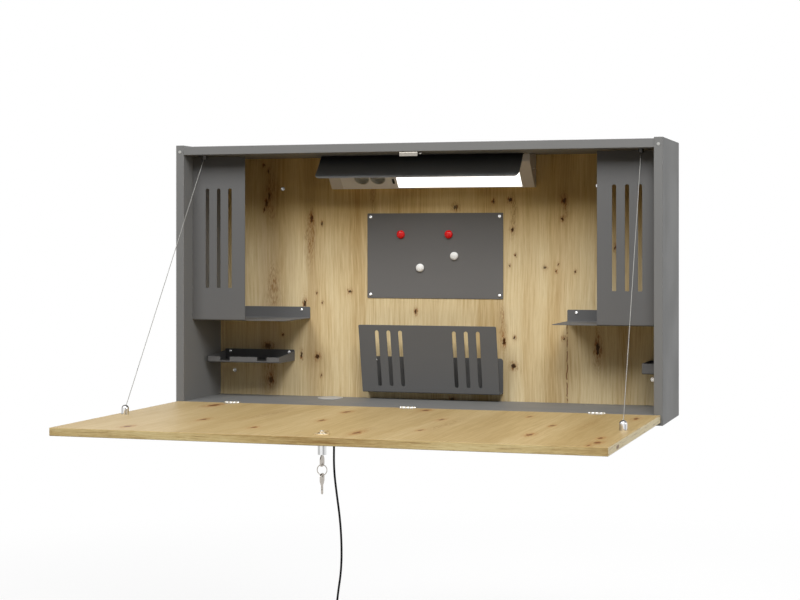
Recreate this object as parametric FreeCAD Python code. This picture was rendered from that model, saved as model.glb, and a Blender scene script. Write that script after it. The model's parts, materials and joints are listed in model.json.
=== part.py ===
"""Fold down wall desk: a shallow wall cabinet whose door folds down to make the desk top.

Millimetres. While it is built, X is centred on the cabinet, Y = 0 is the front plane of the
side panels with +Y towards the wall, and Z = 0 is the bottom of the side panels. write() moves
every piece so that the origin is the centre of the back panel's rear face, on the wall.
The desk is modelled open: the door hangs level on its two stay wires.
"""

import FreeCAD, Part
import math
import os

V = FreeCAD.Vector

# ---- Carcass ----
WIDTH = 1100.0
HEIGHT = 597.0
DEPTH = 222.0
BOARD = 19.0
SIDE_PROUD = 3.0  # the sides stand this far past the top and bottom boards
EDGE_ROUND = 1.2  # rounding of the board edges
INNER_X = WIDTH / 2 - BOARD
BASE_TOP = SIDE_PROUD + BOARD
TOP_UNDER = HEIGHT - SIDE_PROUD - BOARD
BACK_FACE = DEPTH - BOARD

# ---- Dowels and cam fittings between the boards ----
ROW_PITCH = 32.0
DOWEL_INSET = 37.0  # first row from the front or rear edge
DOWEL_R = 4.0
DOWEL_IN_FACE = 12.0
DOWEL_IN_END = 20.0
CAM_R = 7.5
CAM_DEPTH = 13.5
CAM_INSET = 24.0  # cam centre from the end of its board
CAM_BOLT_R = 3.0
CAM_BOLT_IN_FACE = 11.0
CAM_BOLT_HEAD_R = 3.6
CAM_BOLT_HEAD = 3.0
BACK_DOWEL_INSET = (81.0, 331.0)  # from the inner faces of the sides

# ---- Door ----
DOOR_WIDTH = 1090.0
DOOR_LENGTH = 568.0
DOOR_BOARD = 16.0
DOOR_GAP = 1.8  # rear edge of the open door to the carcass front
DOOR_STANDOFF = 1.2  # closed door to the carcass front, which is also the hinge pins' place
DOOR_REAR = -DOOR_GAP
DOOR_FRONT = DOOR_REAR - DOOR_LENGTH
DOOR_UNDER = BASE_TOP - DOOR_BOARD
BUMPER_R = 3.5
BUMPER_THICK = 0.9
BUMPER_DROP = 15.0  # bumper centre below the top of the sides

# ---- Flap hinges ----
HINGE_INSET = 133.0  # outer hinges from the ends of the door
HINGE_MIDDLE_X = -1.0
HINGE_X = (HINGE_INSET - DOOR_WIDTH / 2, HINGE_MIDDLE_X, DOOR_WIDTH / 2 - HINGE_INSET)
HINGE_WIDTH = 35.0
HINGE_REACH = 24.0  # pin to the rounded end of a leaf
HINGE_CUP = 9.0  # depth of a leaf in its board
KNUCKLE_R = 3.0
KNUCKLE_ROOM = 0.4
KNUCKLE_MID = 15.0  # length of the door's knuckle
PIN_R = 1.5
RUNNING_FIT = 0.05
SEAT_FIT = 0.1
HINGE_SCREW_X = 8.0  # either side of a leaf's middle
HINGE_SCREW_LENGTH = 14.0
HINGE_SCREW_HEAD_R = 3.5
HINGE_SCREW_R = 1.75
HINGE_PIN = V(0, -DOOR_STANDOFF, BASE_TOP)

# ---- Sheet metal ----
SHEET = 1.5
BEND = 1.5  # inner bend radius
SLOT_WIDTH = 9.0
SLOT_PITCH = 27.6
SCREW_HEAD_R = 3.6
SCREW_HEAD = 2.0
SCREW_R = 1.9
SCREW_LENGTH = 14.0
TOP_SCREW_LENGTH = 12.0
HOLE_FIT = 0.2
HANG_GAP = 0.3  # between pieces that hang in one another

# ---- Side racks ----
RACK_SETBACK = 47.0  # carcass front to the front of the slotted plate
RACK_PLATE = 128.5
RACK_SHELF = 226.0
RACK_HEIGHT = 370.0
RACK_FLANGE = 27.0
RACK_TOP_GAP = 2.5
RACK_UNDER = TOP_UNDER - RACK_TOP_GAP - RACK_HEIGHT
RACK_SIDE_GAP = 0.3
RACK_SLOT_UP = 73.5  # foot of a slot above the shelf
RACK_SLOT_LENGTH = 225.0
RACK_SLOT_CORNER = 1.2
RACK_SCREW_INSET = (22.0, 205.0)
RACK_SCREW_DROP = 7.0  # below the top of the flange
RACK_CORNER = 3.0
RACK_RELIEF = 3.0

# ---- Document holder ----
CENTRE_X = -3.0  # the document holder and the magnet board share this centre line
DOC_WIDTH = 322.0
DOC_UP = 16.5  # above the bottom board
DOC_UNDER = BASE_TOP + DOC_UP
DOC_FLOOR = 34.0
DOC_BACK = 79.5
DOC_FRONT = 154.0  # height of the leaning front plate
DOC_LEAN = 31.0  # its top stands this far ahead of its foot
DOC_GROUP_X = 90.6
DOC_SLOT_LOW = 14.5
DOC_SLOT_LENGTH = 130.0
DOC_SCREW_X = 140.0
DOC_SCREW_DROP = 9.0  # below the top of the back plate
DOC_CORNER_FRONT = 3.0
DOC_CORNER_BACK = 7.0

# ---- Magnet board ----
BOARD_WIDTH = 322.0
BOARD_HEIGHT = 194.0
BOARD_UP = 229.5  # above the bottom board
BOARD_LOW = BASE_TOP + BOARD_UP
BOARD_SCREW_INSET = 8.0
BOARD_CORNER = 2.0
MAGNET_R = 9.5
MAGNET_THICK = 7.0
MAGNET_ROUND = 2.5
# Each magnet, from the middle of the board's lower edge.
MAGNETS = ((-80.0, 145.5), (34.0, 145.5), (-34.0, 69.5), (47.0, 96.5))

# ---- Pen tray ----
TRAY_WIDTH = 176.0
TRAY_SIDE_GAP = 11.5  # from the left side panel
TRAY_X = TRAY_SIDE_GAP + TRAY_WIDTH / 2 - INNER_X
TRAY_UP = 81.5  # above the bottom board
TRAY_UNDER = BASE_TOP + TRAY_UP
TRAY_DEPTH = 98.0
TRAY_LIP = 13.0
TRAY_FLANGE = 25.4
TRAY_NOTCH_X = 45.8  # notch centre from the tray's centre
TRAY_NOTCH = 24.0
TRAY_NOTCH_STEP = 3.5  # what is left of the lip under a notch
TRAY_SCREW_X = 74.5
TRAY_SCREW_UP = 19.8
TRAY_CORNER = 4.0

# ---- Small tray ----
SMALL_TRAY_WIDTH = 42.7
SMALL_TRAY_SIDE_GAP = 0.3  # from the right side panel
SMALL_TRAY_DEPTH = 95.0
SMALL_TRAY_HEIGHT = 23.0
SMALL_TRAY_UP = 75.0  # above the bottom board
SMALL_TRAY_SCREW_X = 10.0
SMALL_TRAY_SCREW_UP = 13.0

# ---- Lamp with sockets ----
LAMP_LEFT = -246.0
LAMP_LENGTH = 480.0
LAMP_CAP = 28.0
LAMP_FOOT = 14.0  # depth of its lower face
LAMP_DEPTH = 63.0
LAMP_HEIGHT = 73.0
LAMP_NOSE_DROP = 18.0  # from the top board to the end of the sloping face
LAMP_LOW = TOP_UNDER - LAMP_HEIGHT
LAMP_NOSE = TOP_UNDER - LAMP_NOSE_DROP
LAMP_NOSE_R = 9.0
LAMP_WALL = 2.0
LAMP_RIM = 2.0  # of the sloping face, below and above the diffuser
DIFFUSER_INSET = 162.0  # from the lamp's left end
DIFFUSER_THICK = 2.0
LED_STRIP_WIDTH = 12.0
LED_STRIP_THICK = 1.6
LED_STRIP_BEHIND = 14.0
LED_RIB = 2.0
LED_COUNT = 18
LED_END = 10.0  # first light chip from the end of the diffuser
LED_CHIP = 3.0
LED_CHIP_THICK = 0.8
SOCKET_INSET = (78.5, 117.5)  # socket centres from the lamp's left end
SOCKET_R = 16.5
SOCKET_RIM = 1.5
SOCKET_DEPTH = 18.0
SOCKET_UP = 30.0  # socket centre up the sloping face
SOCKET_PIN_R = 2.6
SOCKET_PIN_PITCH = 19.0
SOCKET_FLOOR = 3.0
USB_INSET = 153.5
USB_UP = 21.0
USB_WIDTH = 3.6
USB_LENGTH = 12.0
USB_BODY = 10.0
USB_WALL = 1.0
USB_TONGUE = 1.4
DRIVER_LENGTH = 90.0
DRIVER_DEPTH = 38.0
DRIVER_TALL = 14.0
DRIVER_INSET = 6.0  # from the left end cap
CAP_SCREW_R = 3.2
CAP_SCREW_LENGTH = 10.0
CAP_SCREW_DROP = 31.0  # below the top board
CAP_SCREW_FROM_BACK = 22.0

# ---- Lamp shade ----
SHADE_LEFT = -250.0
SHADE_LENGTH = 472.0
SHADE_TOP = 130.0
SHADE_FLANGE = 9.5
SHADE_SCREW_BACK = 5.6  # screws behind the top of the shade
SHADE_MIDDLE = (109.0, 27.0)  # Y, and drop below the top board
SHADE_LOWER = (87.0, 48.0)
SHADE_LIP = 4.0
SHADE_CURVE = 280.0
SHADE_CORNER = 10.0
SHADE_SCREW_X = 180.0

# ---- Lock and strike plate ----
LOCK_X = -1.0
LOCK_SETBACK = 43.0  # from the door's free edge
LOCK_R = 8.0
LOCK_STANDS_OUT = 21.5
LOCK_STANDS_IN = 3.2
LOCK_NUT_R = 14.0
LOCK_NUT = 2.2
PLUG_R = 5.5
CAM_LENGTH = 22.0
CAM_WIDTH = 12.0
CAM_THICK = 1.8
CAM_LIFT = 0.6  # cam above the end of the lock body
CAM_SCREW_R = 4.0
KEY_THICK = 2.0
KEY_BLADE = 6.4
KEY_BLADE_LENGTH = 18.0
KEY_FIT = 0.15
KEY_BOW = 20.0
KEY_BOW_LENGTH = 21.0
KEY_NECK = 1.0
KEY_HOLE_R = 2.4
KEY_HOLE_UP = 4.6
KEY_CUTS = ((4.0, 1.6), (8.0, 2.4), (12.0, 1.2))
RING_R = 9.6
RING_WIRE_R = 0.8
STRIKE_WIDTH = 41.0
STRIKE_DROP = 10.0
STRIKE_DEPTH = 60.0
STRIKE_SCREW_X = 11.5
STRIKE_SCREW_Y = 50.0

# ---- Stay wires ----
WIRE_R = 1.0
WIRE_FIT = 0.15
DOOR_ANCHOR_INSET = 23.0  # from the end of the door
DOOR_ANCHOR_Y = -300.0
DOOR_ANCHOR_R = 7.8
DOOR_ANCHOR_TALL = 20.0
DOOR_ANCHOR_ROUND = 2.5
WIRE_SEAT = 11.0  # wire end above the door
TOP_ANCHOR_INSET = 33.0  # from the inner face of the side
TOP_ANCHOR_Y = 38.0
TOP_ANCHOR_R = 6.0
TOP_ANCHOR_TALL = 9.0
WIRE_IN_TOP_ANCHOR = 5.4

# ---- Cable grommet ----
GROMMET_X = -240.0
GROMMET_FROM_BACK = 41.0  # centre to the back panel
GROMMET = V(GROMMET_X, BACK_FACE - GROMMET_FROM_BACK, BASE_TOP)
GROMMET_R = 29.0
GROMMET_BORE_R = 26.0
GROMMET_WALL = 2.0
GROMMET_FLANGE = 2.0
GROMMET_CAP_FIT = 0.3
GROMMET_SLOT = 12.0
GROMMET_CAP_SINK = 2.0  # underside of the cap below the board's top
GROMMET_LEDGE = 1.5
GROMMET_LEDGE_REACH = 4.5

# ---- Wall screw holes ----
UPPER_HOLE_INSET = 157.5  # from the inner face of the side
UPPER_HOLE_DROP = 71.0  # below the top board
LOWER_HOLE_INSET = 36.0
LOWER_HOLE_UP = 56.5  # above the bottom board
WALL_HOLE_R = 2.75
COUNTERSINK_R = 5.5
COUNTERSINK = 2.75

# ---- Mains lead ----
CORD_R = 2.5
LEAD_INSET = 10.0  # where the lead leaves the lamp, from the lamp's left end
LEAD_DROP = 30.0  # and below the top board
GROOVE_X = -250.4
GROOVE_JOG_DROP = 70.0
GROOVE_WIDTH = 8.0
GROOVE_DEPTH = 8.5
LEAD_BACK = 4.6  # centre of the lead ahead of the wall
LEAD_BEND = 7.0
GLAND_R = 4.3
GLAND_FOOT_R = 3.3
GLAND_ABOVE = 12.0
GLAND_BELOW = 20.0
GLAND_RIBS = 4
GLAND_RIB_PITCH = 3.6
GLAND_RIB_GAP = 1.2
GLAND_RIB_DEPTH = 0.5
LEAD_END = 5.0  # below the sides, where the hanging stretch begins
# The hanging stretch: X, distance ahead of the wall, Z.
CORD_POINTS = (
    (GROOVE_X, LEAD_BACK, -LEAD_END),
    (GROOVE_X, LEAD_BACK, -38.0),
    (-251.3, 5.6, -90.0),
    (-251.1, 7.2, -147.0),
    (-244.2, 8.8, -200.0),
    (-234.5, 11.0, -260.0),
    (-229.4, 13.4, -321.4),
    (-229.6, 15.8, -380.7),
    (-237.0, 18.0, -432.0),
    (-241.2, 20.0, -479.3),
)
COIL_R = 28.0  # mean radius of the tied coil
COIL_HALF = 6.5  # half the thickness of the bundle
COIL_ROUND = 5.0
COIL_DROP = 25.0  # coil centre below the end of the hanging stretch
PLUG_BODY_R = 18.5
PLUG_NECK_R = 5.0
PLUG_NECK = 14.0
PLUG_BODY = 30.0
PLUG_PIN_R = 2.4
PLUG_PIN = 19.0
PLUG_PIN_PITCH = 19.0
PLUG_TAIL = 15.0  # plug below the foot of the stretch beside the coil

PARTS = {}


# ---------------------------------------------------------------- helpers


def block(x0, x1, y0, y1, z0, z1):
    """A box between two planes on each axis."""
    return Part.makeBox(x1 - x0, y1 - y0, z1 - z0, V(x0, y0, z0))


def rod(start, end, radius):
    """A cylinder from one point to another."""
    along = end - start
    return Part.makeCylinder(radius, along.Length, start, along)


def softened(solid, radius, wanted):
    """The solid with the edges that wanted() picks rounded."""
    return solid.makeFillet(radius, [edge for edge in solid.Edges if wanted(edge)])


def corner_arc(before, corner, after, radius):
    """Start, middle and end of the arc that rounds one corner of an outline."""
    u = (before - corner).normalize()
    w = (after - corner).normalize()
    half = u.getAngle(w) / 2
    inward = (u + w).normalize()
    centre = corner + inward * (radius / math.sin(half))
    back = radius / math.tan(half)
    return corner + u * back, centre - inward * radius, corner + w * back


def outline(points, radii, place):
    """A closed wire through 2-D points, each corner rounded by its own radius."""
    flat = [V(a, b, 0) for a, b in points]
    spans = []
    for i, corner in enumerate(flat):
        if radii[i] > 0:
            spans.append(corner_arc(flat[i - 1], corner, flat[(i + 1) % len(flat)], radii[i]))
        else:
            spans.append((corner, corner, corner))
    edges = []
    for i, (start, middle, end) in enumerate(spans):
        last = spans[i - 1][2]
        if (start - last).Length > 1e-6:
            edges.append(Part.LineSegment(place(last), place(start)).toShape())
        if (end - start).Length > 1e-6:
            edges.append(Part.Arc(place(start), place(middle), place(end)).toShape())
    return Part.Wire(edges)


def prism_x(points, radii, x0, x1):
    """A (Y, Z) outline carried from x0 to x1."""
    wire = outline(points, radii, lambda p: V(x0, p.x, p.y))
    return Part.Face(wire).extrude(V(x1 - x0, 0, 0))


def prism_y(points, radii, y0, y1):
    """An (X, Z) outline carried from y0 to y1."""
    wire = outline(points, radii, lambda p: V(p.x, y0, p.y))
    return Part.Face(wire).extrude(V(0, y1 - y0, 0))


def prism_z(points, radii, z0, z1):
    """An (X, Y) outline carried from z0 to z1."""
    wire = outline(points, radii, lambda p: V(p.x, p.y, z0))
    return Part.Face(wire).extrude(V(0, 0, z1 - z0))


def rectangle(a0, a1, b0, b1):
    return ((a0, b0), (a1, b0), (a1, b1), (a0, b1))


def strip(path, thickness, bends):
    """Outline points and radii of a bent strip that lies to the left of its path.

    bends holds the inner radius at each inner point of the path.
    """
    line = [V(a, b, 0) for a, b in path]
    headings = [(line[i + 1] - line[i]).normalize() for i in range(len(line) - 1)]
    lefts = [V(-h.y, h.x, 0) for h in headings]
    far = [line[0] + lefts[0] * thickness]
    near_radii = [0.0]
    far_radii = [0.0]
    for i in range(1, len(headings)):
        bisector = (lefts[i - 1] + lefts[i]).normalize()
        reach = thickness / bisector.dot(lefts[i])
        far.append(line[i] + bisector * reach)
        turns_left = headings[i - 1].cross(headings[i]).z > 0
        near_radii.append(bends[i - 1] + (thickness if turns_left else 0.0))
        far_radii.append(bends[i - 1] + (0.0 if turns_left else thickness))
    far.append(line[-1] + lefts[-1] * thickness)
    points = [(p.x, p.y) for p in line] + [(p.x, p.y) for p in reversed(far)]
    return points, near_radii + [0.0] + [0.0] + list(reversed(far_radii))


def bent_sheet(path, bends, x0, x1):
    """Sheet metal folded along X: path is its outer face in (Y, Z)."""
    points, radii = strip(path, SHEET, bends)
    return prism_x(points, radii, x0, x1)


def slot_xz(x, low, length, width, y0, y1, low_corner):
    """A cutter for an upright slot with a round top; low_corner rounds its foot."""
    half = width / 2
    points = rectangle(x - half, x + half, low, low + length)
    top = half * 0.999
    return prism_y(points, (low_corner, low_corner, top, top), y0, y1)


def corner_waste(x, z, radius, x_side, z_side, y0, y1):
    """What is cut away to round the corner at (x, z) of a plate that faces Y."""
    x_in = x - x_side * radius
    z_in = z - z_side * radius
    x_out = x + x_side
    z_out = z + z_side
    square = block(min(x_in, x_out), max(x_in, x_out), y0, y1, min(z_in, z_out), max(z_in, z_out))
    return square.cut(rod(V(x_in, y0, z_in), V(x_in, y1, z_in), radius))


def turned(profile, base, axis):
    """A (radius, height) profile turned about an axis through base."""
    wire = Part.makePolygon([V(r, 0, h) for r, h in profile] + [V(profile[0][0], 0, profile[0][1])])
    solid = Part.Face(wire).revolve(V(0, 0, 0), V(0, 0, 1), 360)
    solid.Placement = FreeCAD.Placement(base, FreeCAD.Rotation(V(0, 0, 1), axis))
    return solid


def pan_screw(seat, out, length=SCREW_LENGTH, head_r=SCREW_HEAD_R, shank_r=SCREW_R):
    """A pan head screw: seat is under its head and out points away from the work."""
    crown = head_r * 0.55
    profile = (
        (0, -length),
        (shank_r * 0.4, -length),
        (shank_r, -length + 2 * shank_r),
        (shank_r, 0),
        (head_r, 0),
        (head_r, SCREW_HEAD * 0.5),
        (crown, SCREW_HEAD),
        (0, SCREW_HEAD),
    )
    return turned(profile, seat, out)


def flat_screw(seat, out, length, head_r, shank_r):
    """A countersunk screw whose head ends flush at seat."""
    cone = head_r - shank_r
    profile = (
        (0, -length),
        (shank_r * 0.4, -length),
        (shank_r, -length + 2 * shank_r),
        (shank_r, -cone),
        (head_r, 0),
        (0, 0),
    )
    return turned(profile, seat, out)


def screw_hole(seat, out, depth=SCREW_LENGTH, radius=SCREW_R):
    """A cutter for a screw's shank, running both ways from its seat."""
    return rod(seat - out * (depth + 1), seat + out * 3, radius + HOLE_FIT)


def together(solids):
    return Part.makeCompound(solids)


def mirrored(shape):
    """The shape on the other side of the cabinet's middle plane."""
    return shape.mirror(V(0, 0, 0), V(1, 0, 0))


# ---------------------------------------------------------------- boards


def lead_places():
    """X and Z where the lead goes into the back panel, and Z where its groove turns straight."""
    return LAMP_LEFT + LEAD_INSET, TOP_UNDER - LEAD_DROP, TOP_UNDER - GROOVE_JOG_DROP


def wall_hole(x, z):
    """A countersunk hole through the back panel for a wall screw."""
    shank = rod(V(x, BACK_FACE - 1, z), V(x, DEPTH + 1, z), WALL_HOLE_R)
    cone = Part.makeCone(COUNTERSINK_R, WALL_HOLE_R, COUNTERSINK, V(x, BACK_FACE, z), V(0, 1, 0))
    return shank.fuse(cone)


def dowel_lines():
    """Start and end of every dowel: boards to sides, then back panel to boards."""
    lines = []
    rows = (DOWEL_INSET, DEPTH - DOWEL_INSET)
    levels = (BASE_TOP - BOARD / 2, TOP_UNDER + BOARD / 2)
    for side in (-1, 1):
        for y in rows:
            for z in levels:
                start = V(side * (INNER_X - DOWEL_IN_END), y, z)
                lines.append((start, V(side * (INNER_X + DOWEL_IN_FACE), y, z)))
        for inset in BACK_DOWEL_INSET:
            x = INNER_X - inset
            y = BACK_FACE + BOARD / 2
            low = V(side * x, y, BASE_TOP - DOWEL_IN_FACE)
            lines.append((low, V(side * x, y, BASE_TOP + DOWEL_IN_END)))
            high = V(side * x, y, TOP_UNDER + DOWEL_IN_FACE)
            lines.append((high, V(side * x, y, TOP_UNDER - DOWEL_IN_END)))
    return lines


def carcass_dowels():
    return together([rod(a, b, DOWEL_R) for a, b in dowel_lines()])


def cam_places():
    """Cam centre on the board's outer face, the way into the board, and the side it pulls to."""
    rows = (DOWEL_INSET + ROW_PITCH, DEPTH - DOWEL_INSET - ROW_PITCH)
    places = []
    for side in (-1, 1):
        for y in rows:
            places.append((V(side * (INNER_X - CAM_INSET), y, SIDE_PROUD), V(0, 0, 1), side))
            places.append((V(side * (INNER_X - CAM_INSET), y, TOP_UNDER + BOARD), V(0, 0, -1), side))
    return places


def cam_bolt(centre, inward, side):
    """The steel pin that a cam pulls on, screwed into the side panel."""
    middle = centre + inward * (BOARD / 2)
    tip = V(side * (INNER_X + CAM_BOLT_IN_FACE), middle.y, middle.z)
    pin = rod(middle, tip, CAM_BOLT_R)
    return pin.fuse(rod(middle, middle + V(side * CAM_BOLT_HEAD, 0, 0), CAM_BOLT_HEAD_R))


def cam_fittings():
    """Eight cam discs and their bolts."""
    solids = []
    for centre, inward, side in cam_places():
        disc = rod(centre, centre + inward * CAM_DEPTH, CAM_R)
        middle = centre + inward * (BOARD / 2)
        way = V(side, 0, 0)
        throat = rod(middle - way * CAM_BOLT_HEAD_R, middle + way * CAM_INSET, CAM_BOLT_HEAD_R + HOLE_FIT)
        solids.append(disc.cut(throat))
        solids.append(cam_bolt(centre, inward, side))
    return together(solids)


def board_joinery():
    """Everything that is drilled out of the boards for dowels and cam fittings."""
    cutters = [rod(a, b, DOWEL_R) for a, b in dowel_lines()]
    for centre, inward, side in cam_places():
        cutters.append(rod(centre - inward, centre + inward * CAM_DEPTH, CAM_R))
        middle = centre + inward * (BOARD / 2)
        cutters.append(rod(middle, V(side * (INNER_X + CAM_BOLT_IN_FACE), middle.y, middle.z), CAM_BOLT_R))
    return together(cutters)


def side_panel():
    """The right side panel."""
    board = block(INNER_X, WIDTH / 2, 0, DEPTH, 0, HEIGHT)
    return softened(board, EDGE_ROUND, lambda e: True)


def along_front(edge):
    """True for the long edges at the front of a board."""
    box = edge.BoundBox
    return box.XLength > WIDTH / 2 and box.YMax < 0.01


def top_panel():
    board = block(-INNER_X, INNER_X, 0, DEPTH, TOP_UNDER, TOP_UNDER + BOARD)
    return softened(board, EDGE_ROUND, along_front)


def bottom_panel():
    """The lower board, with its hinge pockets, grommet hole and cord notch."""
    board = block(-INNER_X, INNER_X, 0, DEPTH, SIDE_PROUD, BASE_TOP)
    board = softened(board, EDGE_ROUND, along_front)
    cutters = [hinge_pocket(x, 1) for x in HINGE_X]
    cutters.append(rod(GROMMET - V(0, 0, BOARD + 1), GROMMET + V(0, 0, 1), GROMMET_BORE_R))
    half = GROOVE_WIDTH / 2
    groove_floor = DEPTH - GROOVE_DEPTH
    cutters.append(block(GROOVE_X - half, GROOVE_X + half, groove_floor, DEPTH + 1, 0, BASE_TOP + 1))
    middle = V(GROOVE_X, DEPTH - LEAD_BACK, 0)
    cutters.append(rod(middle, middle + V(0, 0, GLAND_ABOVE), GLAND_R))
    return board.cut(cutters)


def back_panel():
    """The oak back, with its wall screw holes and the groove for the lamp's lead."""
    board = block(-INNER_X, INNER_X, BACK_FACE, DEPTH, BASE_TOP, TOP_UNDER)
    cutters = []
    for side in (-1, 1):
        cutters.append(wall_hole(side * (INNER_X - UPPER_HOLE_INSET), TOP_UNDER - UPPER_HOLE_DROP))
        cutters.append(wall_hole(side * (INNER_X - LOWER_HOLE_INSET), BASE_TOP + LOWER_HOLE_UP))
    half = GROOVE_WIDTH / 2
    lead_x, lead_z, jog_z = lead_places()
    path = ((lead_x + half, lead_z + half), (lead_x + half, lead_z))
    path += ((GROOVE_X + half, jog_z), (GROOVE_X + half, BASE_TOP - 1))
    path += ((GROOVE_X - half, BASE_TOP - 1), (GROOVE_X - half, jog_z))
    path += ((lead_x - half, lead_z), (lead_x - half, lead_z + half))
    cutters.append(prism_y(path, (0,) * len(path), DEPTH - GROOVE_DEPTH, DEPTH + 1))
    cutters.append(rod(V(lead_x, BACK_FACE - 1, lead_z), V(lead_x, DEPTH, lead_z), half))
    return board.cut(cutters)


def door_panel():
    """The door and desk top, with its hinge pockets, lock bore and anchor screws' holes."""
    half = DOOR_WIDTH / 2
    board = block(-half, half, DOOR_FRONT, DOOR_REAR, DOOR_UNDER, BASE_TOP)
    board = softened(board, EDGE_ROUND, lambda e: True)
    cutters = [hinge_pocket(x, -1) for x in HINGE_X]
    cutters.append(rod(lock_point(DOOR_UNDER - 1), lock_point(BASE_TOP + 1), LOCK_R))
    return board.cut(cutters)


# ---------------------------------------------------------------- hinges


def leaf_outline(x, way, grow):
    """Outline of a hinge leaf seen from above; way is 1 for the cabinet and -1 for the door."""
    half = HINGE_WIDTH / 2 + grow
    near = HINGE_PIN.y + way * (KNUCKLE_R + KNUCKLE_ROOM if grow == 0 else -KNUCKLE_R)
    far = HINGE_PIN.y + way * (HINGE_REACH + grow)
    points = ((x - half, near), (x + half, near), (x + half, far), (x - half, far))
    return points, (0, 0, half * 0.999, half * 0.999)


def hinge_pocket(x, way):
    """What is milled out of a board for one leaf and the knuckles."""
    points, radii = leaf_outline(x, way, SEAT_FIT)
    pocket = prism_z(points, radii, BASE_TOP - HINGE_CUP, BASE_TOP + 1)
    return pocket


def knuckle(x, spans, way, bore):
    """The barrel of a leaf over one or more spans of the pin, with the arms to the leaf."""
    solids = []
    for low, high in spans:
        start = V(x + low, HINGE_PIN.y, HINGE_PIN.z)
        end = V(x + high, HINGE_PIN.y, HINGE_PIN.z)
        y0 = HINGE_PIN.y
        y1 = HINGE_PIN.y + way * (KNUCKLE_R + KNUCKLE_ROOM + 1)
        arm = block(x + low, x + high, min(y0, y1), max(y0, y1), HINGE_PIN.z - KNUCKLE_R, HINGE_PIN.z)
        hole = rod(start - V(1, 0, 0), end + V(1, 0, 0), bore)
        solids.append(rod(start, end, KNUCKLE_R).fuse(arm).cut(hole))
    return solids


def hinge_leaf(x, way):
    """One cast leaf, let into its board, with two countersunk screw holes."""
    points, radii = leaf_outline(x, way, 0)
    leaf = prism_z(points, radii, BASE_TOP - HINGE_CUP, BASE_TOP)
    half = HINGE_WIDTH / 2
    inner = KNUCKLE_MID / 2
    if way > 0:
        spans = ((-half, -inner - KNUCKLE_ROOM), (inner + KNUCKLE_ROOM, half))
        solids = knuckle(x, spans, way, PIN_R)
    else:
        solids = knuckle(x, ((-inner, inner),), way, PIN_R + RUNNING_FIT)
    leaf = leaf.fuse(solids)
    return leaf.cut([hinge_screw(seat, HINGE_SCREW_LENGTH + 2) for seat in leaf_screws(x, way)])


def leaf_screws(x, way):
    y = HINGE_PIN.y + way * (HINGE_REACH / 2)
    return [V(x + side * HINGE_SCREW_X, y, BASE_TOP) for side in (-1, 1)]


def hinge_screw(seat, length=HINGE_SCREW_LENGTH):
    return flat_screw(seat, V(0, 0, 1), length, HINGE_SCREW_HEAD_R, HINGE_SCREW_R)


def hinge_screws(way):
    """The countersunk screws of the three leaves on one side."""
    solids = []
    for x in HINGE_X:
        for seat in leaf_screws(x, way):
            solids.append(hinge_screw(seat))
    return together(solids)


def hinge_pins():
    half = V(HINGE_WIDTH / 2, 0, 0)
    centres = [HINGE_PIN + V(x, 0, 0) for x in HINGE_X]
    return together([rod(centre - half, centre + half, PIN_R) for centre in centres])


# ---------------------------------------------------------------- sheet metal fittings


def rack_screw_seats():
    """Seats of the right rack's screws on its back flange."""
    z = RACK_UNDER + RACK_FLANGE - RACK_SCREW_DROP
    return [V(INNER_X - inset, BACK_FACE - SHEET, z) for inset in RACK_SCREW_INSET]


def side_rack():
    """The right rack: shelf, back flange and slotted front plate, folded from one sheet."""
    outer = INNER_X - RACK_SIDE_GAP
    plate_end = INNER_X - RACK_PLATE
    shelf_end = INNER_X - RACK_SHELF
    top = TOP_UNDER - RACK_TOP_GAP
    path = (
        (RACK_SETBACK, top),
        (RACK_SETBACK, RACK_UNDER),
        (BACK_FACE, RACK_UNDER),
        (BACK_FACE, RACK_UNDER + RACK_FLANGE),
    )
    rack = bent_sheet(path, (BEND, BEND), shelf_end, outer)
    fold = RACK_SETBACK + SHEET + BEND
    cutters = [block(shelf_end - 1, plate_end, RACK_SETBACK - 1, fold, RACK_UNDER - 1, top + 1)]
    relief = V(plate_end, fold, RACK_UNDER - 1)
    cutters.append(rod(relief, relief + V(0, 0, SHEET + BEND + 1), RACK_RELIEF / 2))
    middle = INNER_X - RACK_PLATE / 2
    for step in (-1, 0, 1):
        cutters.append(
            slot_xz(
                middle + step * SLOT_PITCH, RACK_UNDER + RACK_SLOT_UP, RACK_SLOT_LENGTH, SLOT_WIDTH,
                RACK_SETBACK - 1, RACK_SETBACK + SHEET + 1, RACK_SLOT_CORNER,
            )
        )
    flange_top = RACK_UNDER + RACK_FLANGE
    y0 = BACK_FACE - SHEET - 1
    cutters.append(corner_waste(shelf_end, flange_top, RACK_CORNER, -1, 1, y0, BACK_FACE + 1))
    cutters += [screw_hole(seat, V(0, -1, 0)) for seat in rack_screw_seats()]
    return rack.cut(cutters)


def doc_lean_point(up):
    """Y of the leaning plate's outer face at a height above the holder's underside."""
    return BACK_FACE - DOC_FLOOR - DOC_LEAN * up / DOC_FRONT


def doc_screw_seats():
    z = DOC_UNDER + DOC_BACK - DOC_SCREW_DROP
    return [V(CENTRE_X + side * DOC_SCREW_X, BACK_FACE - SHEET, z) for side in (-1, 1)]


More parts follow.
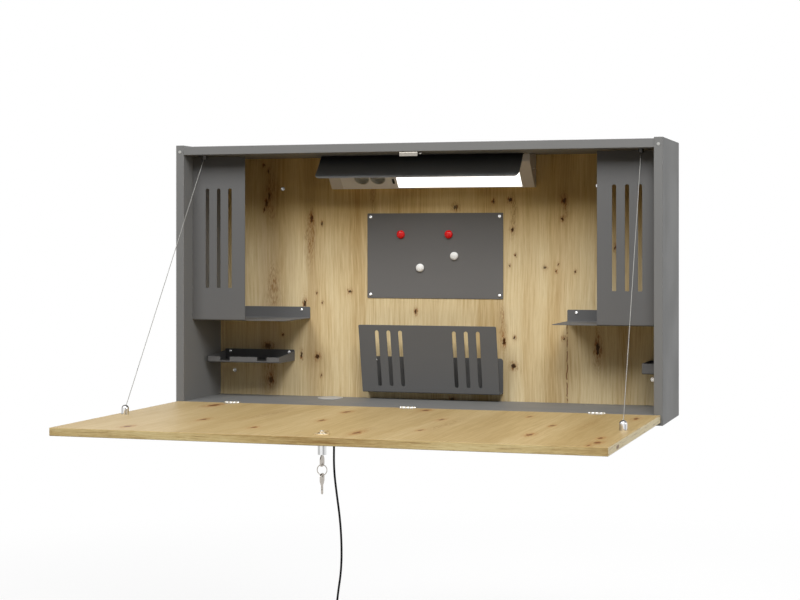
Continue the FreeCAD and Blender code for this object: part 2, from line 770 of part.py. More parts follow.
def document_holder():
    """A pocket folded from one sheet, its front leaning out, with two groups of slots."""
    left = CENTRE_X - DOC_WIDTH / 2
    right = CENTRE_X + DOC_WIDTH / 2
    path = (
        (doc_lean_point(DOC_FRONT), DOC_UNDER + DOC_FRONT),
        (doc_lean_point(0), DOC_UNDER),
        (BACK_FACE, DOC_UNDER),
        (BACK_FACE, DOC_UNDER + DOC_BACK),
    )
    holder = bent_sheet(path, (BEND, BEND), left, right)
    y_front = doc_lean_point(DOC_FRONT) - 1
    y_split = BACK_FACE - SHEET - 1
    rise = DOC_SLOT_LENGTH * math.cos(math.atan2(DOC_LEAN, DOC_FRONT))
    cutters = []
    for side in (-1, 1):
        for step in (-1, 0, 1):
            x = CENTRE_X + side * DOC_GROUP_X + step * SLOT_PITCH
            low = DOC_UNDER + DOC_SLOT_LOW
            half = SLOT_WIDTH / 2 * 0.999
            cutters.append(slot_xz(x, low, rise, SLOT_WIDTH, y_front, y_split, half))
        x_edge = CENTRE_X + side * DOC_WIDTH / 2
        front_top = DOC_UNDER + DOC_FRONT
        cutters.append(corner_waste(x_edge, front_top, DOC_CORNER_FRONT, side, 1, y_front, y_split))
        back_top = DOC_UNDER + DOC_BACK
        cutters.append(corner_waste(x_edge, back_top, DOC_CORNER_BACK, side, 1, y_split, BACK_FACE + 1))
    cutters += [screw_hole(seat, V(0, -1, 0)) for seat in doc_screw_seats()]
    return holder.cut(cutters)


def board_screw_seats():
    half_x = BOARD_WIDTH / 2 - BOARD_SCREW_INSET
    low = BOARD_LOW + BOARD_SCREW_INSET
    high = BOARD_LOW + BOARD_HEIGHT - BOARD_SCREW_INSET
    return [V(CENTRE_X + s * half_x, BACK_FACE - SHEET, z) for s in (-1, 1) for z in (low, high)]


def magnet_board():
    """A flat steel sheet on the back panel."""
    half = BOARD_WIDTH / 2
    points = rectangle(CENTRE_X - half, CENTRE_X + half, BOARD_LOW, BOARD_LOW + BOARD_HEIGHT)
    plate = prism_y(points, (BOARD_CORNER,) * 4, BACK_FACE - SHEET, BACK_FACE)
    return plate.cut([screw_hole(seat, V(0, -1, 0)) for seat in board_screw_seats()])


def magnet(x, z):
    """A domed disc magnet, placed from the middle of the board's lower edge."""
    base = V(CENTRE_X + x, BACK_FACE - SHEET, BOARD_LOW + z)
    disc = rod(base, base - V(0, MAGNET_THICK, 0), MAGNET_R)
    front = base.y - MAGNET_THICK
    return softened(disc, MAGNET_ROUND, lambda e: e.BoundBox.YMax < front + 0.01)


def tray_screw_seats():
    z = TRAY_UNDER + TRAY_SCREW_UP
    return [V(TRAY_X + s * TRAY_SCREW_X, BACK_FACE - SHEET, z) for s in (-1, 1)]


def folded_tray(x0, x1, under, depth, lip, flange, flange_corner):
    """A tray folded from one sheet: back flange, floor, front lip and a wall at each end."""
    front = BACK_FACE - depth
    flange_top = under + flange
    lip_top = under + lip
    path = ((front, lip_top), (front, under), (BACK_FACE, under), (BACK_FACE, flange_top))
    tray = bent_sheet(path, (BEND, BEND), x0, x1)
    corner = SHEET + BEND
    wall = ((front, under), (BACK_FACE, under), (BACK_FACE, flange_top - flange_corner), (front, lip_top))
    for x in (x0, x1 - SHEET):
        tray = tray.fuse(prism_x(wall, (corner, corner, 0, 0), x, x + SHEET))
    return tray


def pen_tray():
    """The wide tray on the left, its front lip notched and its end walls sloping."""
    half = TRAY_WIDTH / 2
    tray = folded_tray(
        TRAY_X - half, TRAY_X + half, TRAY_UNDER, TRAY_DEPTH, TRAY_LIP, TRAY_FLANGE, TRAY_CORNER
    )
    front = BACK_FACE - TRAY_DEPTH
    low = TRAY_UNDER + TRAY_NOTCH_STEP
    high = TRAY_UNDER + TRAY_LIP + 1
    flange_top = TRAY_UNDER + TRAY_FLANGE
    cutters = []
    for side in (-1, 1):
        x = TRAY_X + side * TRAY_NOTCH_X
        cutters.append(block(x - TRAY_NOTCH / 2, x + TRAY_NOTCH / 2, front - 1, front + SHEET + 1, low, high))
        edge = TRAY_X + side * half
        y0 = BACK_FACE - SHEET - 1
        cutters.append(corner_waste(edge, flange_top, TRAY_CORNER, side, 1, y0, BACK_FACE + 1))
    cutters += [screw_hole(seat, V(0, -1, 0)) for seat in tray_screw_seats()]
    return tray.cut(cutters).removeSplitter()


def small_tray_screw_seats():
    right = INNER_X - SMALL_TRAY_SIDE_GAP
    middle = right - SMALL_TRAY_WIDTH / 2
    z = BASE_TOP + SMALL_TRAY_UP + SMALL_TRAY_SCREW_UP
    return [V(middle + s * SMALL_TRAY_SCREW_X, BACK_FACE - SHEET, z) for s in (-1, 1)]


def small_tray():
    """The narrow tray in the right corner, with a level rim."""
    right = INNER_X - SMALL_TRAY_SIDE_GAP
    under = BASE_TOP + SMALL_TRAY_UP
    rim = SMALL_TRAY_HEIGHT
    tray = folded_tray(right - SMALL_TRAY_WIDTH, right, under, SMALL_TRAY_DEPTH, rim, rim, 0)
    holes = [screw_hole(seat, V(0, -1, 0)) for seat in small_tray_screw_seats()]
    return tray.cut(holes).removeSplitter()


def fitting_screw_places():
    """Seat of every pan head screw that holds sheet metal to the back panel."""
    seats = board_screw_seats() + doc_screw_seats() + tray_screw_seats() + small_tray_screw_seats()
    for seat in rack_screw_seats():
        seats += [seat, V(-seat.x, seat.y, seat.z)]
    return seats


def fitting_screws():
    return together([pan_screw(seat, V(0, -1, 0)) for seat in fitting_screw_places()])


def fitting_holes():
    """The holes those screws cut in the back panel."""
    return [rod(seat, seat + V(0, SCREW_LENGTH + 1, 0), SCREW_R) for seat in fitting_screw_places()]


# ---------------------------------------------------------------- lamp


def lamp_outline(inset):
    """Section of the lamp in (Y, Z), shrunk by a wall thickness."""
    face = BACK_FACE - inset
    top = TOP_UNDER - inset
    run = LAMP_DEPTH - LAMP_FOOT
    rise = LAMP_NOSE - LAMP_LOW
    length = math.hypot(run, rise)
    foot_in = inset * (length - run) / rise
    nose_in = inset * (length - rise) / run
    points = (
        (face, LAMP_LOW + inset),
        (BACK_FACE - LAMP_FOOT + foot_in, LAMP_LOW + inset),
        (BACK_FACE - LAMP_DEPTH + inset, LAMP_NOSE + nose_in),
        (BACK_FACE - LAMP_DEPTH + inset, top),
        (face, top),
    )
    return points, (0, 1.0, LAMP_NOSE_R - inset, 1.0, 0)


def slope_point(up, deep, x):
    """A point by its distance up the sloping face from its foot and its depth behind it."""
    run = LAMP_DEPTH - LAMP_FOOT
    rise = LAMP_NOSE - LAMP_LOW
    length = math.hypot(run, rise)
    y = BACK_FACE - LAMP_FOOT - up * run / length + deep * rise / length
    return V(x, y, LAMP_LOW + up * rise / length + deep * run / length)


def slope_box(x0, x1, up0, up1, deep0, deep1):
    """A box in the sloping face's own frame."""
    corners = (slope_point(up0, deep0, x0), slope_point(up1, deep0, x0))
    corners += (slope_point(up1, deep1, x0), slope_point(up0, deep1, x0))
    face = Part.Face(Part.makePolygon(list(corners) + [corners[0]]))
    return face.extrude(V(x1 - x0, 0, 0))


def slope_length():
    return math.hypot(LAMP_DEPTH - LAMP_FOOT, LAMP_NOSE - LAMP_LOW)


def diffuser_span():
    """Left and right ends of the diffuser, and its lower and upper edges up the slope."""
    right = LAMP_LEFT + LAMP_LENGTH - LAMP_CAP
    return LAMP_LEFT + DIFFUSER_INSET, right, LAMP_RIM, slope_length() - LAMP_NOSE_R * 0.6


def socket_places():
    return [LAMP_LEFT + inset for inset in SOCKET_INSET]


def socket_cutter(x, radius, deep0, deep1):
    return rod(slope_point(SOCKET_UP, deep0, x), slope_point(SOCKET_UP, deep1, x), radius)


def lamp_body():
    """The extruded profile with its diffuser window, socket holes and lead hole."""
    x0 = LAMP_LEFT + LAMP_CAP
    x1 = LAMP_LEFT + LAMP_LENGTH - LAMP_CAP
    outer = prism_x(*lamp_outline(0), x0, x1)
    body = outer.cut(prism_x(*lamp_outline(LAMP_WALL), x0 - 1, x1 + 1))
    left, right, low, high = diffuser_span()
    cutters = [slope_box(left, right + 1, low, high, -1, LAMP_WALL + 0.5)]
    for x in socket_places():
        cutters.append(socket_cutter(x, SOCKET_R + SOCKET_RIM, -1, LAMP_WALL + 1))
    cutters.append(usb_block(USB_WALL, -1, LAMP_WALL + 1))
    return body.cut(cutters).fuse(led_rib())


def led_rib():
    """The rib inside the profile that carries the light strip."""
    left, right, low, high = diffuser_span()
    middle = (low + high) / 2
    deep = LED_STRIP_BEHIND + LED_STRIP_THICK
    rib = slope_box(left + 1, right, middle - LED_RIB / 2, middle + LED_RIB / 2, deep, 2 * LAMP_DEPTH)
    return rib.common(prism_x(*lamp_outline(LAMP_WALL / 2), left, right))


def lamp_cap(side):
    """An end cap: a shell closed at its outer end, with one screw."""
    if side < 0:
        x0, x1 = LAMP_LEFT, LAMP_LEFT + LAMP_CAP
        open0, open1 = x0 + LAMP_WALL, x1 + 1
    else:
        x0, x1 = LAMP_LEFT + LAMP_LENGTH - LAMP_CAP, LAMP_LEFT + LAMP_LENGTH
        open0, open1 = x0 - 1, x1 - LAMP_WALL
    cap = prism_x(*lamp_outline(0), x0, x1).cut(prism_x(*lamp_outline(LAMP_WALL), open0, open1))
    seat = cap_screw_seat(side)
    cap = cap.cut(screw_hole(seat, V(side, 0, 0), LAMP_WALL))
    if side < 0:
        lead_x, lead_z, _ = lead_places()
        lead = V(lead_x, BACK_FACE, lead_z)
        cap = cap.cut(rod(lead - V(0, LAMP_WALL + 1, 0), lead + V(0, 1, 0), CORD_R + HOLE_FIT))
    return cap


def cap_screw_seat(side):
    x = LAMP_LEFT if side < 0 else LAMP_LEFT + LAMP_LENGTH
    return V(x, BACK_FACE - CAP_SCREW_FROM_BACK, TOP_UNDER - CAP_SCREW_DROP)


def lamp_cap_screws():
    screws = []
    for side in (-1, 1):
        screws.append(pan_screw(cap_screw_seat(side), V(side, 0, 0), CAP_SCREW_LENGTH, CAP_SCREW_R))
    return together(screws)


def lamp_diffuser():
    left, right, low, high = diffuser_span()
    return slope_box(left, right, low, high, 0, DIFFUSER_THICK)


def led_strip():
    """The aluminium backed light strip behind the diffuser, with its row of light chips."""
    left, right, low, high = diffuser_span()
    middle = (low + high) / 2
    half = LED_STRIP_WIDTH / 2
    deep = LED_STRIP_BEHIND
    strip_board = slope_box(left + 4, right - 4, middle - half, middle + half, deep, deep + LED_STRIP_THICK)
    chips = []
    first = left + LED_END
    pitch = (right - left - 2 * LED_END) / (LED_COUNT - 1)
    half = LED_CHIP / 2
    for i in range(LED_COUNT):
        x = first + i * pitch
        chip = (x - half, x + half, middle - half, middle + half)
        chips.append(slope_box(*chip, deep - LED_CHIP_THICK, deep))
    return strip_board.fuse(chips)


def lamp_driver():
    """The closed power supply in the upper corner of the profile."""
    x0 = LAMP_LEFT + LAMP_CAP + DRIVER_INSET
    y1 = BACK_FACE - LAMP_WALL
    z1 = TOP_UNDER - LAMP_WALL
    case = block(x0, x0 + DRIVER_LENGTH, y1 - DRIVER_DEPTH, y1, z1 - DRIVER_TALL, z1)
    return softened(case, 1.0, lambda e: e.BoundBox.XLength > DRIVER_LENGTH / 2)


def socket_inserts():
    """Two round recessed sockets with their pin holes."""
    solids = []
    for x in socket_places():
        cup = socket_cutter(x, SOCKET_R + SOCKET_RIM, 0, SOCKET_DEPTH)
        cup = cup.cut(socket_cutter(x, SOCKET_R, -1, SOCKET_DEPTH - SOCKET_FLOOR))
        for side in (-1, 1):
            pin_x = x + side * SOCKET_PIN_PITCH / 2
            cup = cup.cut(socket_cutter(pin_x, SOCKET_PIN_R, 0, SOCKET_DEPTH + 1))
        solids.append(cup)
    return together(solids)


def usb_block(grow, deep0, deep1):
    """A block as wide and long as the port's mouth, grown on all four sides."""
    wide = USB_WIDTH / 2 + grow
    long = USB_LENGTH / 2 + grow
    x = LAMP_LEFT + USB_INSET
    return slope_box(x - wide, x + wide, USB_UP - long, USB_UP + long, deep0, deep1)


def usb_port():
    """The black charging port beside the diffuser, with its contact tongue."""
    shell = usb_block(USB_WALL, 0, USB_BODY).cut(usb_block(0, -1, USB_BODY - USB_WALL))
    left = LAMP_LEFT + USB_INSET - USB_WIDTH / 2
    half = USB_LENGTH / 2 - 1
    tongue = (left, left + USB_TONGUE, USB_UP - half, USB_UP + half)
    return shell.fuse(slope_box(*tongue, USB_TONGUE, USB_BODY - USB_WALL))


def lamp_shade():
    """A curved glare shade hung from the top board by its flange."""
    right = SHADE_LEFT + SHADE_LENGTH
    middle_y, middle_down = SHADE_MIDDLE
    lower_y, lower_down = SHADE_LOWER
    lip_z = TOP_UNDER - lower_down - SHADE_LIP
    path = (
        (lower_y, lip_z),
        (lower_y, TOP_UNDER - lower_down),
        (middle_y, TOP_UNDER - middle_down),
        (SHADE_TOP, TOP_UNDER),
        (SHADE_TOP + SHADE_FLANGE, TOP_UNDER),
    )
    points, radii = strip(tuple(reversed(path)), SHEET, (BEND, SHADE_CURVE, BEND))
    shade = prism_x(points, radii, SHADE_LEFT, right)
    front = lower_y - 5
    cutters = []
    for x, side in ((SHADE_LEFT, -1), (right, 1)):
        cutters.append(corner_waste(x, lip_z, SHADE_CORNER, side, -1, front, SHADE_TOP))
    cutters += [screw_hole(seat, V(0, 0, -1), TOP_SCREW_LENGTH) for seat in shade_screw_seats()]
    return shade.cut(cutters)


def shade_screw_seats():
    x = SHADE_LEFT + SHADE_LENGTH / 2
    y = SHADE_TOP + SHADE_SCREW_BACK
    return [V(x + s * SHADE_SCREW_X, y, TOP_UNDER - SHEET) for s in (-1, 0, 1)]


# ---------------------------------------------------------------- lock


def lock_point(z):
    return V(LOCK_X, DOOR_FRONT + LOCK_SETBACK, z)


def lock_foot():
    return DOOR_UNDER - LOCK_STANDS_OUT


def lock_housing():
    """The cylinder that passes through the door, bored for the plug."""
    top = BASE_TOP + LOCK_STANDS_IN
    body = rod(lock_point(lock_foot()), lock_point(top), LOCK_R)
    body = softened(body, 0.8, lambda e: abs(e.BoundBox.ZMax - lock_foot()) < 0.01)
    return body.cut(rod(lock_point(lock_foot() - 1), lock_point(top + 1), PLUG_R + RUNNING_FIT))


def lock_nut():
    """The round nut that clamps the housing to the door's inner face."""
    ring = rod(lock_point(BASE_TOP), lock_point(BASE_TOP + LOCK_NUT), LOCK_NUT_R)
    ring = softened(ring, 0.6, lambda e: e.BoundBox.ZMin > BASE_TOP + LOCK_NUT - 0.01)
    return ring.cut(rod(lock_point(BASE_TOP - 1), lock_point(BASE_TOP + LOCK_NUT + 1), LOCK_R))


def lock_plug():
    """The turning plug with its keyway."""
    top = BASE_TOP + LOCK_STANDS_IN + CAM_LIFT
    plug = rod(lock_point(lock_foot()), lock_point(top), PLUG_R)
    centre = lock_point(lock_foot())
    wide = KEY_THICK / 2 + KEY_FIT
    tall = KEY_BLADE / 2 + KEY_FIT
    keyway = block(
        centre.x - wide, centre.x + wide, centre.y - tall, centre.y + tall,
        centre.z - 1, centre.z + KEY_BLADE_LENGTH + 1,
    )
    return plug.cut([keyway, rod(lock_point(top - 7), lock_point(top + 1), SCREW_R)])


def lock_cam():
    """The latch arm, which points to the hinges while the lock is open."""
    centre = lock_point(0)
    half = CAM_WIDTH / 2
    points = rectangle(centre.x - half, centre.x + half, centre.y - half, centre.y + CAM_LENGTH)
    low = BASE_TOP + LOCK_STANDS_IN + CAM_LIFT
    cam = prism_z(points, (half * 0.99, half * 0.99, 3.0, 3.0), low, low + CAM_THICK)
    return cam.cut(rod(lock_point(low - 1), lock_point(low + CAM_THICK + 1), SCREW_R + HOLE_FIT))


def cam_screw():
    top = BASE_TOP + LOCK_STANDS_IN + CAM_LIFT + CAM_THICK
    return pan_screw(lock_point(top), V(0, 0, 1), 6.5, CAM_SCREW_R, SCREW_R)


def key_shape(shoulder, hole_from_end):
    """A flat key in the Y-Z plane: blade up from the shoulder, bow below it."""
    y = lock_point(0).y
    half = KEY_BOW / 2
    foot = shoulder - KEY_BOW_LENGTH
    x0 = LOCK_X - KEY_THICK / 2
    x1 = LOCK_X + KEY_THICK / 2
    bow_points = (
        (y - half, foot + 4),
        (y - half * 0.5, foot),
        (y + half * 0.5, foot),
        (y + half, foot + 4),
        (y + half, shoulder - 7),
        (y + half * 0.5, shoulder),
        (y - half * 0.5, shoulder),
        (y - half, shoulder - 7),
    )
    bow = prism_x(bow_points, (2.5, 4, 4, 2.5, 4, 1, 1, 4), x0, x1)
    blade_half = KEY_BLADE / 2
    blade_points = [(y - blade_half, shoulder - 1), (y + blade_half, shoulder - 1)]
    for up, deep in KEY_CUTS:
        blade_points.append((y + blade_half, shoulder + up - 1.4))
        blade_points.append((y + blade_half - deep, shoulder + up))
        blade_points.append((y + blade_half, shoulder + up + 1.4))
    blade_points.append((y + blade_half, shoulder + KEY_BLADE_LENGTH - 2.5))
    blade_points.append((y, shoulder + KEY_BLADE_LENGTH))
    blade_points.append((y - blade_half, shoulder + KEY_BLADE_LENGTH - 1.5))
    blade = prism_x(blade_points, (0,) * len(blade_points), x0, x1)
    hole = V(x0 - 1, y, foot + hole_from_end)
    return bow.fuse(blade).cut(rod(hole, hole + V(KEY_THICK + 2, 0, 0), KEY_HOLE_R)).removeSplitter()


def key_shoulder():
    """Top of the bow of the key that is in the lock."""
    return lock_foot() - KEY_NECK


def ring_centre():
    """The ring hangs in the key's hole."""
    hole_z = key_shoulder() - KEY_BOW_LENGTH + KEY_HOLE_UP
    drop = KEY_HOLE_R - RING_WIRE_R - HANG_GAP
    return V(LOCK_X, lock_point(0).y, hole_z - drop - RING_R)


def lock_key():
    return key_shape(key_shoulder(), KEY_HOLE_UP)


def key_ring():
    return Part.makeTorus(RING_R, RING_WIRE_R, ring_centre(), V(0, 1, 0))


def spare_key():
    """The second key, hanging blade down from the ring."""
    y = lock_point(0).y
    hole_z = ring_centre().z - RING_R - (KEY_HOLE_R - RING_WIRE_R - HANG_GAP)
    key = key_shape(0.0, KEY_HOLE_UP)
    turn = FreeCAD.Placement(V(0, 0, 0), FreeCAD.Rotation(V(1, 0, 0), 180), V(LOCK_X, y, 0))
    key = key.transformGeometry(turn.toMatrix())
    hole_now = KEY_BOW_LENGTH - KEY_HOLE_UP
    key.translate(V(0, 0, hole_z - hole_now))
    return key


def strike_plate():
    """An angle under the top board, whose front lip catches the cam."""
    half = STRIKE_WIDTH / 2
    path = ((0, TOP_UNDER - STRIKE_DROP), (0, TOP_UNDER), (STRIKE_DEPTH, TOP_UNDER))
    points, radii = strip(tuple(reversed(path)), SHEET, (BEND,))
    plate = prism_x(points, radii, LOCK_X - half, LOCK_X + half)
    return plate.cut([screw_hole(seat, V(0, 0, -1), TOP_SCREW_LENGTH) for seat in strike_screw_seats()])


def strike_screw_seats():
    return [V(LOCK_X + s * STRIKE_SCREW_X, STRIKE_SCREW_Y, TOP_UNDER - SHEET) for s in (-1, 1)]


def top_screws():
    """The screws of the lamp shade and the strike plate, up into the top board."""
    seats = shade_screw_seats() + strike_screw_seats()
    return together([pan_screw(seat, V(0, 0, -1), TOP_SCREW_LENGTH) for seat in seats])


def top_screw_holes():
    seats = shade_screw_seats() + strike_screw_seats()
    return [rod(seat, seat + V(0, 0, TOP_SCREW_LENGTH + 1), SCREW_R) for seat in seats]


# ---------------------------------------------------------------- stay wires


def anchor_places(side):
    """Foot of the post on the door and head of the disc under the top board."""
    foot = V(side * (DOOR_WIDTH / 2 - DOOR_ANCHOR_INSET), DOOR_ANCHOR_Y, BASE_TOP)
    return foot, V(side * (INNER_X - TOP_ANCHOR_INSET), TOP_ANCHOR_Y, TOP_UNDER)


def wire_ends(side):
    """Lower and upper end of a stay wire."""
    foot, head = anchor_places(side)
    return foot + V(0, 0, WIRE_SEAT), head - V(0, 0, TOP_ANCHOR_TALL - WIRE_IN_TOP_ANCHOR)


def wire_bore(side):
    low, high = wire_ends(side)
    along = (high - low).normalize()
    return rod(low - along * 0.3, high + along * 0.3, WIRE_R + WIRE_FIT)


def stay_wire(side):
    low, high = wire_ends(side)
    return rod(low, high, WIRE_R)


def door_anchors():
    """Two turned posts on the door that hold the lower ends of the wires."""
    posts = []
    for side in (-1, 1):
        foot = anchor_places(side)[0]
        top = BASE_TOP + DOOR_ANCHOR_TALL
        post = rod(foot, V(foot.x, foot.y, top), DOOR_ANCHOR_R)
        post = softened(post, DOOR_ANCHOR_ROUND, lambda e: e.BoundBox.ZMin > top - 0.01)
        posts.append(post.cut(wire_bore(side)))
    return together(posts)


def top_anchors():
    """Two discs under the top board that hold the upper ends of the wires."""
    discs = []
    for side in (-1, 1):
        head = anchor_places(side)[1]
        foot = TOP_UNDER - TOP_ANCHOR_TALL
        disc = rod(head, V(head.x, head.y, foot), TOP_ANCHOR_R)
        disc = softened(disc, 1.5, lambda e: e.BoundBox.ZMax < foot + 0.01)
        discs.append(disc.cut(wire_bore(side)))
    return together(discs)


# ---------------------------------------------------------------- small parts of the carcass


def grommet_ring():
    """A collar in the bottom board with a thin flange on top."""
    low = V(GROMMET.x, GROMMET.y, SIDE_PROUD)
    sleeve = rod(low, GROMMET, GROMMET_BORE_R)
    flange = rod(GROMMET, GROMMET + V(0, 0, GROMMET_FLANGE), GROMMET_R)
    flange = softened(flange, 1.2, lambda e: e.BoundBox.ZMin > GROMMET.z + GROMMET_FLANGE - 0.01)
    ring = sleeve.fuse(flange)
    inner = rod(low - V(0, 0, 1), GROMMET + V(0, 0, GROMMET_FLANGE + 1), GROMMET_BORE_R - GROMMET_WALL)
    ledge_top = GROMMET.z - GROMMET_CAP_SINK
    ledge = rod(V(low.x, low.y, ledge_top - GROMMET_LEDGE), V(low.x, low.y, ledge_top), GROMMET_BORE_R)
    ledge = ledge.cut(rod(low, V(low.x, low.y, ledge_top + 1), GROMMET_BORE_R - GROMMET_LEDGE_REACH))
    return ring.cut(inner).fuse(ledge).removeSplitter()


def grommet_cap():
    """The lid in the collar, with a slot for cables; it turns."""
    radius = GROMMET_BORE_R - GROMMET_WALL - GROMMET_CAP_FIT
    low = GROMMET - V(0, 0, GROMMET_CAP_SINK)
    top = V(GROMMET.x, GROMMET.y, GROMMET.z + GROMMET_FLANGE - 0.4)
    lid = rod(low, top, radius)
    lid = softened(lid, 0.8, lambda e: e.BoundBox.ZMin > top.z - 0.01)
    half = GROMMET_SLOT / 2
    inner_y = GROMMET.y + radius - GROMMET_SLOT
    points = rectangle(GROMMET.x - half, GROMMET.x + half, inner_y, GROMMET.y + radius + 5)
    return lid.cut(prism_z(points, (half * 0.99, half * 0.99, 0, 0), low.z - 1, top.z + 1))


def door_bumpers():
    """Two soft pads on the front edges of the sides."""
    pads = []
    for side in (-1, 1):
        centre = V(side * (INNER_X + BOARD / 2), 0, HEIGHT - BUMPER_DROP)
        pad = rod(centre, centre - V(0, BUMPER_THICK, 0), BUMPER_R)
        pads.append(softened(pad, 0.4, lambda e: e.BoundBox.YMax < -BUMPER_THICK + 0.01))
    return together(pads)


# ---------------------------------------------------------------- mains lead


def tube(points, bend_radii, radius):
    """A round tube along straight runs joined by tangent arcs."""
    edges = []
    last = points[0]
    for i in range(1, len(points) - 1):
        start, middle, end = corner_arc(points[i - 1], points[i], points[i + 1], bend_radii[i - 1])
        edges.append(Part.LineSegment(last, start).toShape())
        edges.append(Part.Arc(start, middle, end).toShape())
        last = end
    edges.append(Part.LineSegment(last, points[-1]).toShape())
    path = Part.Wire(edges)
    section = Part.Wire([Part.makeCircle(radius, points[0], points[1] - points[0])])
    return path.makePipeShell([section], True, False), path.Length


def lamp_lead():
    """The lead from the lamp, back through the panel and down its groove to the gland."""
    y = DEPTH - LEAD_BACK
    lead_x, lead_z, jog_z = lead_places()
    points = (
        V(lead_x, BACK_FACE - 6, lead_z),
        V(lead_x, y, lead_z),
        V(GROOVE_X, y, jog_z),
        V(GROOVE_X, y, -LEAD_END),
    )
    return tube(points, (LEAD_BEND, 4 * LEAD_BEND), CORD_R)[0]


def cord_gland():
    """A tapered rubber strain relief, ribbed where it stands below the bottom board."""
    middle = V(GROOVE_X, DEPTH - LEAD_BACK, 0)
    bore = CORD_R + RUNNING_FIT
    full = GLAND_R - SEAT_FIT
    profile = (
        (bore, GLAND_ABOVE),
        (full, GLAND_ABOVE),
        (full, 0),
        (GLAND_FOOT_R, -GLAND_BELOW),
        (bore, -GLAND_BELOW),
    )
    gland = turned(profile, middle, V(0, 0, 1))
    grooves = []
    for i in range(GLAND_RIBS):
        high = -GLAND_RIB_PITCH * (i + 0.6)
        low = high - GLAND_RIB_GAP
        root = full - (full - GLAND_FOOT_R) * (-high / GLAND_BELOW) - GLAND_RIB_DEPTH
        ring = ((root, high), (full + 1, high), (full + 1, low), (root, low))
        grooves.append(turned(ring, middle, V(0, 0, 1)))
    return gland.cut(grooves)


def cord_line():
    """The chosen points of the hanging stretch and the radius at each inner one."""
    points = [V(x, DEPTH - ahead, z) for x, ahead, z in CORD_POINTS]
    runs = [(b - a).Length for a, b in zip(points, points[1:])]
    radii = []
    for i in range(1, len(points) - 1):
        turn = (points[i] - points[i - 1]).getAngle(points[i + 1] - points[i])
        radii.append(0.45 * min(runs[i - 1], runs[i]) / math.tan(turn / 2))
    return points, radii


def hanging_cord():
    points, radii = cord_line()
    solid, length = tube(points, radii, CORD_R)
    print("cord radii", [round(r, 1) for r in radii])
    print("cord length", round(length, 1), "volume ratio", solid.Volume / (math.pi * CORD_R**2 * length))
    return solid


def coil_centre():
    """The coil hangs beside the end of the hanging stretch, which runs down its left side."""
    end = cord_line()[0][-1]
    return V(end.x + COIL_R, end.y, end.z - COIL_DROP)


def cord_coil():
    """The outer shape of the tied coil, with the cord's two stubs."""
    points = cord_line()[0]
    along = (points[-1] - points[-2]).normalize()
    centre = coil_centre()
    inner = COIL_R - COIL_HALF
    outer = COIL_R + COIL_HALF
    section = outline(
        rectangle(inner, outer, -COIL_HALF, COIL_HALF), (COIL_ROUND,) * 4,
        lambda p: V(centre.x + p.x, centre.y + p.y, centre.z),
    )
    bundle = Part.Face(section).revolve(centre, V(0, 1, 0), 360)
    stub = rod(points[-1], points[-1] + along * COIL_DROP, CORD_R)
    tail = rod(V(centre.x - COIL_R, centre.y, centre.z), plug_head(), CORD_R)
    return bundle.fuse([stub, tail]).removeSplitter()


def plug_head():
    """Where the cord enters the plug."""
    centre = coil_centre()
    return V(centre.x - COIL_R, centre.y, centre.z - COIL_DROP - PLUG_TAIL)


def mains_plug():
    """A moulded two pin plug, hanging pins down."""
    head = plug_head()
    neck_low = head.z - PLUG_NECK
    profile = (
        (0, 0),
        (PLUG_NECK_R * 0.8, 0),
        (PLUG_NECK_R, -PLUG_NECK),
        (PLUG_BODY_R * 0.8, -PLUG_NECK - 8),
        (PLUG_BODY_R, -PLUG_NECK - PLUG_BODY * 0.55),
        (PLUG_BODY_R, -PLUG_NECK - PLUG_BODY),
        (0, -PLUG_NECK - PLUG_BODY),
    )
    body = turned(profile, head, V(0, 0, 1))
    face = neck_low - PLUG_BODY
    pins = []
    for side in (-1, 1):
        top = V(head.x + side * PLUG_PIN_PITCH / 2, head.y, face + 2)
        pins.append(rod(top, top - V(0, 0, PLUG_PIN + 2), PLUG_PIN_R))
    return body.fuse(pins)


# ---------------------------------------------------------------- assembly


def write(name, shape):
    """Move a piece into the part's own frame and write it."""
    moved = shape.copy()
    moved.translate(V(0, -DEPTH, -HEIGHT / 2))
    if not moved.isValid():
        print("INVALID", name)
    for solid in moved.Solids:
        if solid.Volume <= 0:
            print("BAD VOLUME", name)
    PARTS[name] = moved
    body = moved.Solids[0] if len(moved.Solids) == 1 else Part.makeCompound(moved.Solids)
    body.exportStep(os.path.join("parts", name + ".step"))


def write_carcass():
    joinery = board_joinery()
    plain_side = side_panel().cut(joinery)
    write("side_panel_right", plain_side)
    write("side_panel_left", mirrored(plain_side))
    write("top_panel", top_panel().cut(joinery).cut(top_screw_holes()))
    write("bottom_panel", bottom_panel().cut(joinery).cut(hinge_screws(1)))
    write("back_panel", back_panel().cut(joinery).cut(fitting_holes()))
    write("carcass_dowels", carcass_dowels())
    write("cam_fittings", cam_fittings())
    write("door_bumpers", door_bumpers())
    write("grommet_ring", grommet_ring())
    write("grommet_cap", grommet_cap())


def write_fittings():
    rack = side_rack()
    write("side_rack_right", rack)
    write("side_rack_left", mirrored(rack))
    write("document_holder", document_holder())
    write("magnet_board", magnet_board())
    write("pen_tray", pen_tray())
    write("small_tray", small_tray())
    write("fitting_screws", fitting_screws())
    write("strike_plate", strike_plate())
    write("top_screws", top_screws())
    for number, (x, z) in enumerate(MAGNETS, start=1):
        write("magnet_" + str(number), magnet(x, z))


def write_lamp():
    write("lamp_body", lamp_body())
    write("lamp_cap_left", lamp_cap(-1))
    write("lamp_cap_right", lamp_cap(1))
    write("lamp_cap_screws", lamp_cap_screws())
    write("lamp_diffuser", lamp_diffuser())
    write("led_strip", led_strip())
    write("lamp_driver", lamp_driver())
    write("socket_inserts", socket_inserts())
    write("usb_port", usb_port())
    write("lamp_shade", lamp_shade())


